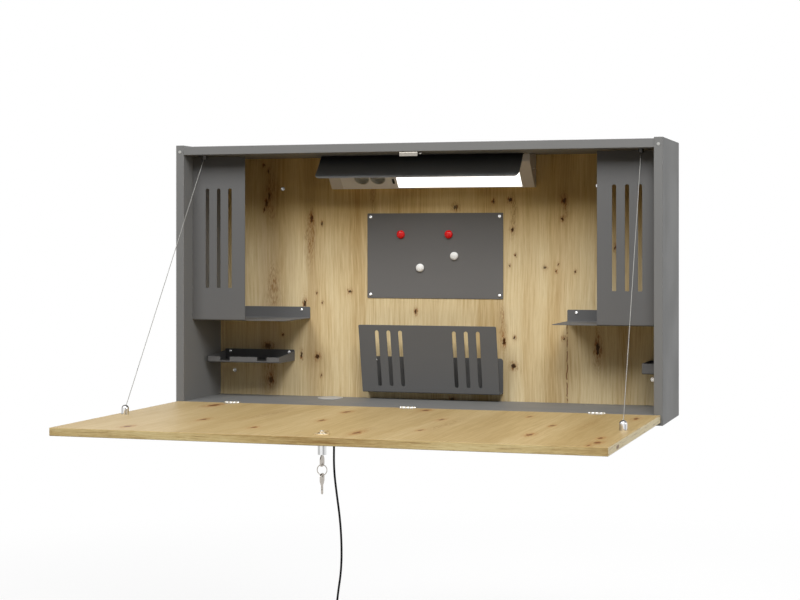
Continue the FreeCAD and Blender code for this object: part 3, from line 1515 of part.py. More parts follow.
def write_door():
    door = door_panel()
    write("door_panel", door.cut(hinge_screws(-1)))
    for name, x in zip(("left", "middle", "right"), HINGE_X):
        write("hinge_leaf_cabinet_" + name, hinge_leaf(x, 1))
        write("hinge_leaf_door_" + name, hinge_leaf(x, -1))
    write("hinge_pins", hinge_pins())
    write("hinge_screws_cabinet", hinge_screws(1))
    write("hinge_screws_door", hinge_screws(-1))
    write("wire_anchors_door", door_anchors())
    write("wire_anchors_top", top_anchors())
    write("stay_wire_left", stay_wire(-1))
    write("stay_wire_right", stay_wire(1))


def write_lock():
    write("lock_housing", lock_housing())
    write("lock_nut", lock_nut())
    write("lock_plug", lock_plug())
    write("lock_cam", lock_cam())
    write("cam_screw", cam_screw())
    write("lock_key", lock_key())
    write("key_ring", key_ring())
    write("spare_key", spare_key())


def write_lead():
    write("lamp_lead", lamp_lead())
    write("cord_gland", cord_gland())
    write("power_cord", hanging_cord())
    write("cord_coil", cord_coil())
    write("mains_plug", mains_plug())


os.makedirs("parts", exist_ok=True)
write_carcass()
write_fittings()
write_lamp()
write_door()
write_lock()
write_lead()
print(len(PARTS), "nodes,", sum(len(p.Solids) for p in PARTS.values()), "solids")
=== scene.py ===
"""Fold down wall desk: finishes, small pieces, cord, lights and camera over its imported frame.

Metres. The origin is on the wall at the middle of the cabinet, +Y goes into the wall and +Z is up.
"""

import json
import math

import bmesh
import bpy
from mathutils import Matrix, Vector


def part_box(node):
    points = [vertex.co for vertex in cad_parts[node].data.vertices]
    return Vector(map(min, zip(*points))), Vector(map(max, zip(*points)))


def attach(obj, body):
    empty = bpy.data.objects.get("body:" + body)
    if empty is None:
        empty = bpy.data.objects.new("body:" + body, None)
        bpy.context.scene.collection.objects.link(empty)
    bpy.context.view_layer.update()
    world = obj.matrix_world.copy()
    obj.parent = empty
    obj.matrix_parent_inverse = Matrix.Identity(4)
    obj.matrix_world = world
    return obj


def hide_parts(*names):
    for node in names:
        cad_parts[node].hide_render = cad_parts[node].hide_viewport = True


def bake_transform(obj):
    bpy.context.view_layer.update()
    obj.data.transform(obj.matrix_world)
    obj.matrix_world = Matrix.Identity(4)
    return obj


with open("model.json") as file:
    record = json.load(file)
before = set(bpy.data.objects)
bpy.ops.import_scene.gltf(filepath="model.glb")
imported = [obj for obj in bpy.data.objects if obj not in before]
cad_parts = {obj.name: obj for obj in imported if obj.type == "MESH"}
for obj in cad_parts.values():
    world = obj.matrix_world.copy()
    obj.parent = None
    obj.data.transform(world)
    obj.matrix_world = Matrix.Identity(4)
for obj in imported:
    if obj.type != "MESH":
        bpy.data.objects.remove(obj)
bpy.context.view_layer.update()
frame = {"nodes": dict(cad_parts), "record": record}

NODES = frame["nodes"]

BACK_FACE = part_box("back_panel")[0].y
DESK_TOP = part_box("door_panel")[1].z
SHADE_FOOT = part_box("lamp_shade")[0].z
SHADE_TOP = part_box("lamp_shade")[1].z
DOOR_FREE_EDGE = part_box("door_panel")[0].y
DOOR_HALF_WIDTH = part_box("door_panel")[1].x
LAMP_MIDDLE = sum(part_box("lamp_body")[end].x for end in (0, 1)) / 2

X_AXIS = Vector((1, 0, 0))
Y_AXIS = Vector((0, 1, 0))
Z_AXIS = Vector((0, 0, 1))

# The camera, and the width and height in pixels of the picture that it frames.
CAMERA_PLACE = Vector((1.09388, -3.65685, 0.07717))
CAMERA_TURN = math.radians(16.7318)
CAMERA_LENS = 75.198
CAMERA_SENSOR = 36.0
CAMERA_SHIFT = (-0.045, -0.0702)
PICTURE = (800, 600)


def shown_at(column, row, axis, level):
    """The point on a flat face, at a level on an axis, that shows at a pixel of the picture."""
    scale = CAMERA_SENSOR / CAMERA_LENS / PICTURE[0]
    right = (column - PICTURE[0] / 2 + CAMERA_SHIFT[0] * PICTURE[0]) * scale
    up = (PICTURE[1] / 2 - row + CAMERA_SHIFT[1] * PICTURE[0]) * scale
    ahead = Vector((-math.sin(CAMERA_TURN), math.cos(CAMERA_TURN), 0.0))
    way = ahead + ahead.cross(Z_AXIS) * right + Z_AXIS * up
    return CAMERA_PLACE + way * ((level - CAMERA_PLACE[axis]) / way[axis])


# ---- finishes: the tools


def paint(red, green, blue):
    """A colour given as it shows on a screen, 0 to 255, in the values that a shader takes."""
    channels = []
    for value in (red, green, blue):
        v = value / 255
        channels.append(v / 12.92 if v <= 0.04045 else ((v + 0.055) / 1.055) ** 2.4)
    return (*channels, 1.0)


class Signal:
    """A socket inside a finish. Arithmetic on it adds the Math nodes."""

    def __init__(self, finish, socket):
        self.finish = finish
        self.socket = socket

    def maths(self, operation, *values):
        return self.finish.node("ShaderNodeMath", {"operation": operation}, dict(enumerate(values)))

    def __add__(self, other):
        return self.maths("ADD", self, other)

    def __radd__(self, other):
        return self.maths("ADD", other, self)

    def __sub__(self, other):
        return self.maths("SUBTRACT", self, other)

    def __rsub__(self, other):
        return self.maths("SUBTRACT", other, self)

    def __mul__(self, other):
        return self.maths("MULTIPLY", self, other)

    def __rmul__(self, other):
        return self.maths("MULTIPLY", other, self)

    def __truediv__(self, other):
        return self.maths("DIVIDE", self, other)

    def __abs__(self):
        return self.maths("ABSOLUTE", self)

    def least(self, other):
        return self.maths("MINIMUM", self, other)

    def most(self, other):
        return self.maths("MAXIMUM", self, other)

    def wave(self):
        """From 0 to 1 and back each time the signal grows by one."""
        return 0.5 - 0.5 * self.maths("COSINE", self * (2 * math.pi))


class Finish:
    """A procedural material on one Principled shader."""

    def __init__(self, name, **even):
        self.material = bpy.data.materials.new(name)
        self.material.use_nodes = True
        self.take(self.material.node_tree, "Principled BSDF")
        for socket, value in even.items():
            name = socket.replace("_", " ").title().replace("Ior", "IOR")
            self.shader.inputs[name].default_value = value

    def take(self, tree, shader):
        self.nodes = tree.nodes
        self.links = tree.links
        self.shader = tree.nodes[shader]

    def put(self, socket, value):
        if isinstance(value, Signal):
            self.links.new(value.socket, socket)
        elif socket.type == "VECTOR":
            socket.default_value = value[:3]
        else:
            socket.default_value = value

    def node(self, kind, settings=None, inputs=None, output=0):
        """Any node: its type, its settings, then the values or links of its sockets."""
        made = self.nodes.new(kind)
        for name, value in (settings or {}).items():
            if name == "stops":
                made.color_ramp.elements.remove(made.color_ramp.elements[1])
                made.color_ramp.elements[0].position, made.color_ramp.elements[0].color = value[0]
                for position, colour in value[1:]:
                    made.color_ramp.elements.new(position).color = colour
            else:
                setattr(made, name, value)
        for key, value in (inputs or {}).items():
            self.put(made.inputs[key], value)
        return Signal(self, made.outputs[output])

    def feed(self, socket, value):
        self.put(self.shader.inputs[socket], value)

    def place(self):
        """The point on the piece, in metres, which stays with the piece as it moves."""
        return self.node("ShaderNodeTexCoord", output="Object")

    def facing(self):
        """Which way the surface faces, in the piece's own axes."""
        return self.node("ShaderNodeTexCoord", output="Normal")

    def parts(self, vector):
        made = self.nodes.new("ShaderNodeSeparateXYZ")
        self.put(made.inputs[0], vector)
        return [Signal(self, output) for output in made.outputs]

    def joined(self, x, y, z):
        return self.node("ShaderNodeCombineXYZ", None, {0: x, 1: y, 2: z})

    def vector_maths(self, operation, *values, output=0):
        inputs = dict(enumerate(values))
        return self.node("ShaderNodeVectorMath", {"operation": operation}, inputs, output)

    def length(self, vector):
        return self.vector_maths("LENGTH", vector, output="Value")

    def stretched(self, vector, factors):
        return self.vector_maths("MULTIPLY", vector, factors)

    def noise(self, vector, scale=1.0, detail=2.0, roughness=0.5):
        inputs = {"Vector": vector, "Scale": scale, "Detail": detail, "Roughness": roughness}
        return self.node("ShaderNodeTexNoise", None, inputs)

    def graded(self, signal, low, high, to_low=0.0, to_high=1.0):
        """The signal taken smoothly from low..high to another range, and held there."""
        settings = {"interpolation_type": "SMOOTHSTEP"}
        inputs = {0: signal, 1: low, 2: high, 3: to_low, 4: to_high}
        return self.node("ShaderNodeMapRange", settings, inputs)

    def mixed(self, factor, first, second, way="MIX"):
        settings = {"data_type": "RGBA", "blend_type": way}
        return self.node("ShaderNodeMix", settings, {0: factor, 6: first, 7: second}, output=2)

    def ramp(self, signal, *stops):
        return self.node("ShaderNodeValToRGB", {"stops": stops}, {0: signal})

    def shaded(self, colour, signal, depth):
        """The colour darkened where the signal is low and lightened where it is high."""
        level = 1.0 + (signal - 0.5) * (2 * depth)
        return self.vector_maths("MULTIPLY", colour, self.joined(level, level, level))

    def edges(self, radius):
        """1 along the edges of the piece and 0 on its flats."""
        rounded = self.node("ShaderNodeBevel", {"samples": 4}, {"Radius": radius})
        flat = self.node("ShaderNodeNewGeometry", output="Normal")
        turn = 1.0 - self.vector_maths("DOT_PRODUCT", rounded, flat, output="Value")
        return self.graded(turn, 0.01, 0.25)

    def relief(self, height, distance, strength=1.0, radius=0.0):
        """Feeds the shader's normal with a height map, on edges softened by a radius."""
        inputs = {"Height": height, "Distance": distance, "Strength": strength}
        if radius:
            inputs["Normal"] = self.node("ShaderNodeBevel", {"samples": 4}, {"Radius": radius})
        self.feed("Normal", self.node("ShaderNodeBump", None, inputs))


def dress(finish, *names):
    """Gives CAD nodes a finish."""
    for name in names:
        for slot in NODES[name].material_slots:
            slot.material = finish.material


# ---- finishes: oak


# Knots and flames: the column and row at which each shows in the camera's
# picture, in pixels, then its half width and half length in millimetres.
BACK_KNOTS = {
    "black_one_under_pen_tray": (271.1, 379.5, 6.5, 9),
    "right_of_pen_tray": (317.7, 356.5, 5.5, 6),
    "beside_shelf_tip": (305, 303.6, 3.5, 9),
    "left_board_upper": (311.7, 218.8, 3.5, 11),
    "left_board_upper_pin": (322, 223.7, 3, 4),
    "left_of_magnet_board": (349.8, 291.5, 4, 4),
    "between_board_and_holder": (415.9, 311.6, 2.8, 6),
    "over_pen_tray_end": (301.6, 354.7, 2.5, 8),
    "over_shelf_tip": (316.8, 293.1, 1.8, 3),
    "over_shelf_tip_pin": (322.6, 302.9, 1.8, 3),
    "low_left_pin": (321.3, 375.5, 2.2, 3),
    "over_pen_tray_pin": (282.9, 334.9, 2.2, 3),
    "behind_pen_tray": (268.1, 346, 9, 7),
    "left_top_middle": (266.6, 203.3, 4.5, 8),
    "left_top_upper": (269.2, 195.5, 3, 11),
    "left_top_lower": (264.5, 209.4, 2.8, 5),
    "left_top_pin": (264.1, 165, 2.6, 3),
    "left_top_pin_below": (268.4, 171.4, 2.4, 5),
    "over_magnet_board": (455.6, 207.4, 6, 6),
    "over_board_right": (493.4, 201.4, 2.5, 5),
    "right_of_lamp": (510.2, 199.8, 4.5, 5),
    "board_corner_right": (512.6, 229.4, 3.5, 4),
    "right_bay_top": (564.4, 200.7, 4.5, 8),
    "right_bay_upper": (562.5, 218.9, 3, 4),
    "right_bay_middle": (544.8, 267.5, 3.5, 4),
    "right_bay_pin_upper": (558.2, 264.8, 1.6, 3),
    "right_bay_pin_lower": (556.3, 271.2, 1.6, 3),
    "right_bay_pin_outer": (575.2, 271.7, 1.8, 3),
    "board_side_pin_upper": (515.6, 255.3, 1.6, 3),
    "board_side_pin_lower": (509.4, 265.9, 1.8, 3),
    "holder_side_pin": (514.5, 337.9, 2.6, 4),
    "holder_side_long": (504.1, 341.4, 4, 10),
    "right_bay_low": (563.6, 339, 3, 4),
    "holder_side_low": (513.4, 366.1, 6, 6),
    "under_right_rack": (597.9, 348.9, 4.5, 16),
    "in_right_rack_slot": (615.1, 247.6, 2.2, 6),
    "low_behind_holder": (452, 398.8, 5, 4),
}
BACK_FLAMES = {
    "left_top": (271.6, 195.6, 24, 75),
    "left_middle": (273.2, 287.2, 22, 70),
    "left_board_upper": (310.3, 238.2, 16, 80),
    "round_black_knot": (269.2, 370.4, 20, 60),
    "holder_side": (502.5, 321.8, 12, 60),
    "right_of_lamp": (512.7, 216.1, 12, 60),
    "right_bay_top": (564.4, 206.6, 12, 50),
    "under_right_rack": (597.9, 348.9, 16, 50),
    "over_board_left": (371.4, 194.6, 10, 60),
}
DOOR_KNOTS = {
    "beside_middle_hinge": (425.9, 410.4, 8, 16),
    "middle_back": (441.6, 419.6, 5, 18),
    "middle_front": (420.4, 430.2, 5, 12),
    "right_back": (529.6, 416.7, 4.5, 12),
    "right_middle": (552.4, 425.7, 4.5, 14),
    "right_front": (529.6, 434.7, 6.5, 20),
    "right_corner": (597.3, 442.7, 8, 16),
    "right_corner_front": (588.6, 445.3, 4, 10),
    "right_corner_back": (600.4, 438.2, 5, 14),
    "beside_right_hinge": (636.1, 418.8, 6, 20),
    "left_middle": (203.6, 419.4, 6, 18),
    "left_corner": (127.6, 426.3, 8, 16),
    "left_front": (253.8, 427.3, 5, 14),
    "middle_left": (321.9, 420.4, 6, 16),
    "beside_left_hinge": (214, 405.2, 11, 30),
    "left_back": (346.9, 412, 7, 20),
    "beside_lock": (357, 432.7, 7, 22),
}
DOOR_FLAMES = {
    "right_middle": (445.4, 424.6, 16, 180),
    "right_edge": (588.3, 425.2, 14, 150),
    "left_middle": (270.3, 413.5, 20, 160),
    "beside_lock": (357.3, 432.5, 18, 120),
}
# Long stripes of browner and of paler wood on the back panel: middle, half width, strength.
HEARTWOOD = (-0.408, 0.044, 0.3), (-0.303, 0.022, 0.2), (0.156, 0.02, 0.12), (0.3, 0.022, 0.12)
SAPWOOD = (-0.352, 0.024, 0.35), (0.02, 0.07, 0.12), (0.235, 0.03, 0.15)
# The reddish crack low in the back panel: its place, half width, wander and top.
CRACK_X = 0.3045
CRACK_HALF = 0.0022
CRACK_WANDER = 0.010
CRACK_TOP = -0.085
# The knot in the door's right edge, from the free edge and from the top.
EDGE_KNOT_BACK = 0.09
EDGE_KNOT_DOWN = 0.010

# Each surface's tones: pale, middle and deep wood, then flames, knots and the stain round knots.
BACK_TONES = {
    "pale": paint(234, 216, 175),
    "middle": paint(218, 196, 151),
    "deep": paint(190, 160, 110),
    "flame": paint(142, 98, 48),
    "knot": paint(48, 22, 8),
    "stain": paint(146, 90, 40),
}
DOOR_TONES = {
    "pale": paint(203, 180, 135),
    "middle": paint(190, 165, 117),
    "deep": paint(172, 145, 96),
    "flame": paint(158, 126, 78),
    "knot": paint(112, 70, 36),
    "stain": paint(166, 116, 64),
}
BAND_TONES = {
    "pale": paint(232, 212, 158),
    "middle": paint(212, 186, 130),
    "deep": paint(172, 140, 88),
    "flame": paint(134, 92, 48),
    "sides": paint(255, 240, 196),
}
# Painted shade: the back panel's colour is made darker and warmer towards its top, under the top
# panel.
PAINTED_TOP_SHADE = (0.98, 0.88, 0.66, 1.0)
# How often each figure of the wood repeats in a metre: across the grain, along it, and in depth.
WANDER = (5.0, 2.4, 1.0)
BOARD_FIGURE = (13.0, 0.8, 1.0)
STREAK_FIGURE = (150.0, 4.0, 9.0)
FIBRE_FIGURE = (430.0, 13.0, 60.0)
PORE_FIGURE = (1300.0, 45.0, 90.0)
RAGGED_FIGURE = (420.0, 120.0, 1.0)
SWEEP_FIGURE = (26.0, 9.0, 1.0)
SPECKLE_FIGURE = (300.0, 60.0, 1.0)


def on_board(marks, axis, level, along):
    """The marks on a board's flat face as spots in metres, for nearest()."""
    spots = []
    for column, row, wide, long in marks.values():
        point = shown_at(column, row, axis, level)
        spots.append((point.x, point[along], wide / 1000, long / 1000))
    return spots


def nearest(finish, place, spots):
    """Distance to the nearest of several ovals, in their own radii."""
    found = None
    for across, along, wide, long in spots:
        scale = (1 / wide, 1 / long, 0.0)
        shift = (-across / wide, -along / long, 0.0)
        here = finish.vector_maths("MULTIPLY_ADD", place, scale, shift)
        reach = finish.length(here)
        found = reach if found is None else found.least(reach)
    return found


def plain_oak(finish, place, tones):
    """Colour, streaks, fibre and pores of oak whose grain runs along the second axis of place."""
    drift = finish.noise(finish.stretched(place, WANDER)) - 0.5
    grain = finish.vector_maths("ADD", place, finish.joined(drift * 0.03, 0.0, 0.0))
    boards = finish.noise(finish.stretched(grain, BOARD_FIGURE), detail=1.0)
    streaks = finish.noise(finish.stretched(grain, STREAK_FIGURE), detail=4.0, roughness=0.65)
    fibre = finish.noise(finish.stretched(grain, FIBRE_FIGURE), detail=3.0, roughness=0.6)
    pores = finish.noise(finish.stretched(grain, PORE_FIGURE), detail=1.0)
    pores = finish.graded(pores, 0.62, 0.74)
    figure = boards * 0.50 + streaks * 0.30 + fibre * 0.40 - 0.10
    stops = (0.36, tones["pale"]), (0.50, tones["middle"]), (0.66, tones["deep"])
    colour = finish.mixed(pores * 0.18, finish.ramp(figure, *stops), tones["flame"])
    return colour, streaks, fibre, pores


def oak_surface(finish, place, tones, knots=(), flames=()):
    """Colour and height of oak, with the knots and the flames that lie on it."""
    colour, streaks, fibre, pores = plain_oak(finish, place, tones)
    if knots:
        rough = finish.noise(place, 160.0, detail=3.0) - 0.5
        ragged = finish.noise(finish.stretched(place, RAGGED_FIGURE)) - 0.5
        shift = finish.joined(rough * 0.008, ragged * 0.012, 0.0)
        bent = finish.vector_maths("ADD", place, shift)
        knot = nearest(finish, bent, knots)
        wide = finish.noise(finish.stretched(place, SWEEP_FIGURE), detail=3.0) - 0.5
        sweep = finish.joined(wide * 0.03, wide * 0.03, 0.0)
        flame = nearest(finish, finish.vector_maths("ADD", place, sweep), flames)
        burning = finish.graded(flame, 1.25, 0.1)
        arcs = (flame * 5.5 + streaks * 2.4 + fibre * 0.8).wave()
        speckle = finish.noise(finish.stretched(bent, SPECKLE_FIGURE), detail=3.0)
        speckle = finish.graded(speckle, 0.45, 0.62)
        burning = burning * (0.10 + 0.32 * arcs + 0.45 * speckle)
        colour = finish.mixed(burning, colour, tones["flame"])
        around = finish.graded(knot, 5.5, 1.2) * (knot * 1.6 + streaks * 2.0).wave()
        colour = finish.mixed(around * 0.16, colour, tones["stain"])
        halo = finish.graded(knot, 2.6, 0.8) * (0.2 + 0.8 * speckle)
        colour = finish.mixed(halo, colour, tones["stain"])
        colour = finish.mixed(finish.graded(knot, 1.05, 0.6) * 0.93, colour, tones["knot"])
    return colour, fibre - pores


def cracked(finish, x, z, colour):
    """The colour with the long reddish crack low in the back panel."""
    meander = finish.noise(finish.joined(0.0, z * 34.0, 0.0), detail=3.0) - 0.5
    line = finish.graded(abs(x - CRACK_X - meander * CRACK_WANDER), CRACK_HALF, CRACK_HALF / 5.5)
    span = finish.graded(z, CRACK_TOP, CRACK_TOP - 0.025)
    patchy = finish.graded(finish.noise(finish.joined(x * 60.0, z * 90.0, 0.0)), 0.36, 0.52)
    return finish.mixed(line * span * patchy * 0.8, colour, paint(112, 60, 34))


def oak_back():
    """Upright grain on the back panel, with stripes, a crack and painted shade, darker and warmer,
    at its top.
    """
    finish = Finish("knotty_oak_back", roughness=0.5, specular_ior_level=0.1)
    x, y, z = finish.parts(finish.place())
    knots = on_board(BACK_KNOTS, 1, BACK_FACE, 2)
    flames = on_board(BACK_FLAMES, 1, BACK_FACE, 2)
    colour, height = oak_surface(finish, finish.joined(x, z, y), BACK_TONES, knots, flames)
    sway = finish.noise(finish.joined(x * 5.0, z * 3.5, 0.0)) - 0.5
    for stripes, tone in ((HEARTWOOD, BACK_TONES["flame"]), (SAPWOOD, BACK_TONES["pale"])):
        for middle, half, strength in stripes:
            stripe = finish.graded(abs(x - middle + sway * 0.03), half, half * 0.2)
            colour = finish.mixed(stripe * strength, colour, tone)
    # Painted shade: darker and warmer towards the top, where the top panel shades the back.
    colour = finish.mixed(finish.graded(z, 0.04, 0.20), colour, PAINTED_TOP_SHADE, "MULTIPLY")
    finish.feed("Base Color", cracked(finish, x, z, colour))
    finish.relief(height, 0.0004, 0.35)
    return finish


def edge_band(finish, x, y, z, sideways):
    """Colour and height of the door's edge bands, whose grain runs along each edge."""
    place = finish.joined(z * 3.2, (x + y) * 4.0, 0.0)
    colour, height = oak_surface(finish, place, BAND_TONES)
    side = finish.graded(sideways, 0.5, 0.9) * 0.75
    colour = finish.mixed(side, colour, BAND_TONES["sides"])
    place = finish.joined(z * 330.0, (x + y) * 11.0, 7.0)
    burn = finish.noise(place, detail=4.0, roughness=0.7)
    colour = finish.mixed(finish.graded(burn, 0.53, 0.66) * 0.6, colour, BAND_TONES["flame"])
    colour = finish.mixed(finish.graded(burn, 0.44, 0.32) * 0.6, colour, BAND_TONES["pale"])
    along = (y - (DOOR_FREE_EDGE + EDGE_KNOT_BACK)) * 60.0
    across = (z - (DESK_TOP - EDGE_KNOT_DOWN)) * 240.0
    spread = finish.length(finish.joined(along, across, 0.0))
    knot = finish.graded(spread + (burn - 0.5) * 2.0, 1.1, 0.5)
    knot = knot * finish.graded(x, 0.0, DOOR_HALF_WIDTH * 0.9)
    return finish.mixed(knot * 0.85, colour, DOOR_TONES["knot"]), height


def oak_door():
    """Grain from the hinges to the free edge, and bands on the edges."""
    finish = Finish("knotty_oak_door", roughness=0.45, specular_ior_level=0.15)
    x, y, z = finish.parts(finish.place())
    knots = on_board(DOOR_KNOTS, 2, DESK_TOP, 1)
    flames = on_board(DOOR_FLAMES, 2, DESK_TOP, 1)
    place = finish.joined(x, y, z)
    face_colour, face_height = oak_surface(finish, place, DOOR_TONES, knots, flames)
    sideways, _, upright = [abs(part) for part in finish.parts(finish.facing())]
    band_colour, band_height = edge_band(finish, x, y, z, sideways)
    face = finish.graded(upright, 0.35, 0.6)
    seam = finish.graded(abs(upright - 0.5), 0.22, 0.05)
    colour = finish.mixed(face, band_colour, face_colour)
    finish.feed("Base Color", finish.mixed(seam * 0.25, colour, DOOR_TONES["flame"]))
    finish.relief(band_height + (face_height - band_height) * face, 0.0004, 0.35)
    return finish


def plain_beech():
    finish = Finish("beech_dowel", roughness=0.6)
    fleck = finish.noise(finish.stretched(finish.place(), (90.0, 700.0, 700.0)), detail=3.0)
    stops = (0.3, paint(214, 178, 132)), (0.7, paint(182, 140, 94))
    finish.feed("Base Color", finish.ramp(fleck, *stops))
    finish.relief(fleck, 0.0002, 0.4)
    return finish


# ---- finishes: boards, metal, plastic


def laminate():
    """Matt anthracite laminate with a faint pearl and slightly paler banded edges."""
    finish = Finish("anthracite_laminate", specular_ior_level=0.15)
    place = finish.place()
    cloud = finish.noise(place, 7.0, detail=3.0)
    grit = finish.noise(place, 1600.0, detail=2.0)
    colour = finish.shaded(paint(122, 122, 121), cloud, 0.035)
    colour = finish.shaded(colour, grit, 0.05)
    colour = finish.mixed(finish.edges(0.0012) * 0.35, colour, paint(150, 150, 148))
    finish.feed("Base Color", colour)
    finish.feed("Roughness", finish.graded(cloud, 0.3, 0.7, 0.44, 0.54))
    finish.relief(grit, 0.00012, 0.35, radius=0.0006)
    return finish


def powder_coat(name, colour, wear, radius=0.0006):
    """Fine textured powder coat on sheet metal, thinner and paler on its cut edges."""
    finish = Finish(name, specular_ior_level=0.12)
    place = finish.place()
    cloud = finish.noise(place, 9.0, detail=2.0)
    texture = finish.noise(place, 1300.0, detail=3.0, roughness=0.6)
    tone = finish.shaded(colour, cloud, 0.03)
    tone = finish.shaded(tone, texture, 0.06)
    tone = finish.mixed(finish.edges(radius) * 0.5, tone, wear)
    finish.feed("Base Color", tone)
    finish.feed("Roughness", finish.graded(texture, 0.3, 0.7, 0.45, 0.6))
    finish.relief(texture, 0.00015, 0.5, radius=radius)
    return finish


def moulded(name, colour, roughness=0.42, grain=0.25, **even):
    """Moulded plastic or rubber with a fine spark-eroded grain."""
    finish = Finish(name, **even)
    place = finish.place()
    cloud = finish.noise(place, 16.0, detail=2.0)
    texture = finish.noise(place, 2200.0, detail=2.0)
    tone = finish.shaded(finish.shaded(colour, cloud, 0.04), texture, 0.04)
    finish.feed("Base Color", tone)
    finish.feed("Roughness", finish.graded(cloud, 0.3, 0.7, roughness - 0.05, roughness + 0.05))
    finish.relief(texture, 0.0001, grain, radius=0.0004)
    return finish


def drawn_metal(name, colour, roughness, brushing, wear=0.12, painted_reflection=0.0, metallic=1.0):
    """Bare or plated metal: faint brushing and scratches, and, where asked, a painted reflection of
    light and dark bands by which way it faces, darker on its tops.
    """
    finish = Finish(name, metallic=metallic)
    place = finish.place()
    brushed = finish.noise(finish.stretched(place, brushing), detail=3.0)
    scuffs = finish.graded(finish.noise(place, 420.0, detail=5.0, roughness=0.7), 0.60, 0.72)
    tone = finish.shaded(finish.shaded(colour, brushed, 0.05), scuffs, -wear * 0.4)
    if painted_reflection:
        # Painted reflection: light and dark bands by which way the surface faces, and darker where
        # it faces up.
        x, y, z = finish.parts(finish.facing())
        side = x * 0.48 - y * 0.14 + 0.5
        painted_bands = finish.ramp(side, *PAINTED_REFLECTION_BANDS)
        painted_bands = finish.mixed(finish.graded(z, 0.25, 0.7) * 0.8, painted_bands, paint(104, 102, 98))
        tone = finish.mixed(painted_reflection, tone, painted_bands, "MULTIPLY")
    finish.feed("Base Color", tone)
    dull = finish.graded(brushed, 0.3, 0.7, roughness * 0.8, roughness * 1.25)
    finish.feed("Roughness", dull + scuffs * wear)
    finish.relief(brushed, 0.00006, 0.3, radius=0.0003)
    return finish


# Spacing and start of the painted glints along the hinge knuckles.
KNUCKLE_PITCH = 0.0088
KNUCKLE_START = 0.61


def hinge_plating():
    """Nickel plating with a painted reflection of the boards in the colour of its flats and painted
    glints on its knuckles.
    """
    finish = Finish("hinge_nickel", metallic=0.4)
    place = finish.place()
    # Painted glints where the knuckles face up and out, in bands along each knuckle; the tan flats
    # are a painted reflection of the oak.
    catch = finish.vector_maths("DOT_PRODUCT", finish.facing(), (0.0, -0.8, 0.6), output="Value")
    cloud = finish.noise(place, 260.0, detail=2.0)
    along = finish.parts(place)[0] / KNUCKLE_PITCH + KNUCKLE_START
    painted_glint = finish.graded(catch, 0.80, 0.96) * finish.graded(along.wave(), 0.25, 0.7)
    finish.feed("Base Color", finish.mixed(painted_glint, paint(176, 168, 150), paint(250, 250, 250)))
    finish.feed("Roughness", finish.graded(cloud, 0.3, 0.7, 0.24, 0.36))
    finish.relief(cloud, 0.00006, 0.3, radius=0.0003)
    return finish


def shade_coating():
    """The same powder coat as the racks, with painted light: dark at the folded top of the shade,
    pale towards its foot, and a painted highlight on its edges.
    """
    finish = Finish("shade_powder_coat", specular_ior_level=0.12)
    place = finish.place()
    texture = finish.noise(place, 1300.0, detail=3.0, roughness=0.6)
    # Painted light and shade: dark at the top of the shade, pale at its foot.
    low = finish.graded(finish.parts(place)[2], SHADE_TOP, SHADE_FOOT)
    tone = finish.mixed(low, paint(52, 53, 55), paint(172, 176, 182))
    tone = finish.shaded(tone, texture, 0.06)
    # Painted highlight along the edges and the lip.
    tone = finish.mixed(finish.edges(0.0014) * 0.8, tone, paint(196, 200, 208))
    finish.feed("Base Color", tone)
    finish.feed("Roughness", finish.graded(texture, 0.3, 0.7, 0.4, 0.55))
    finish.relief(texture, 0.00015, 0.5, radius=0.0008)
    return finish


def opal_diffuser():
    """Opal acrylic lit from behind, a little brighter over each light chip."""
    finish = Finish("opal_diffuser", roughness=0.35)
    place = finish.place()
    cloud = finish.noise(place, 30.0, detail=2.0)
    finish.feed("Base Color", finish.shaded(paint(240, 240, 238), cloud, 0.02))
    finish.shader.inputs["Emission Strength"].default_value = 1.6
    finish.feed("Emission Color", finish.shaded(paint(255, 252, 246), cloud, 0.02))
    return finish


def glossy_magnet(name, colour):
    finish = Finish(name, roughness=0.14, specular_ior_level=0.32)
    cloud = finish.noise(finish.place(), 60.0, detail=2.0)
    finish.feed("Base Color", finish.shaded(colour, cloud, 0.04))
    finish.relief(finish.noise(finish.place(), 240.0), 0.0001, 0.12)
    return finish


# Painted reflection: light and dark as a polished piece turns from its left side, 0, to its right
# side, 1.
PAINTED_REFLECTION_BANDS = (
    (0.0, paint(70, 70, 72)),
    (0.14, paint(150, 148, 145)),
    (0.34, paint(228, 228, 228)),
    (0.44, paint(150, 148, 144)),
    (0.56, paint(250, 250, 250)),
    (0.80, paint(255, 255, 255)),
    (0.90, paint(165, 165, 165)),
    (1.0, paint(240, 240, 240)),
)
# How finely each metal is brushed along its three axes.
EVEN_BRUSHING = (300.0, 300.0, 300.0)
UPRIGHT_BRUSHING = (60.0, 60.0, 900.0)
KEY_BRUSHING = (40.0, 1400.0, 1400.0)
CAST_GRAIN = (500.0, 500.0, 500.0)
WIRE_BRUSHING = (700.0, 700.0, 60.0)
PLATE_BRUSHING = (500.0, 60.0, 500.0)
STRIP_BRUSHING = (60.0, 900.0, 900.0)
OAK_BACK = oak_back()
OAK_DOOR = oak_door()
BEECH = plain_beech()
LAMINATE = laminate()
RACK_COAT = powder_coat("rack_powder_coat", paint(104, 104, 104), paint(134, 134, 134))
BOARD_COAT = powder_coat("magnet_board_powder_coat", paint(111, 110, 109), paint(70, 70, 70))
SHADE_COAT = shade_coating()
LAMP_COAT = powder_coat("lamp_satin_paint", paint(245, 244, 247), paint(248, 244, 238))
CAP_PLASTIC = moulded("lamp_cap_plastic", paint(222, 217, 215), 0.4)
SOCKET_PLASTIC = moulded("socket_plastic", paint(208, 208, 203), 0.36)
GROMMET_PLASTIC = moulded("grommet_plastic", paint(176, 175, 172), 0.4)
BLACK_PLASTIC = moulded("black_plastic", paint(34, 34, 35), 0.38)
CORD_RUBBER = moulded("cord_rubber", paint(15, 15, 16), 0.5, specular_ior_level=0.15)
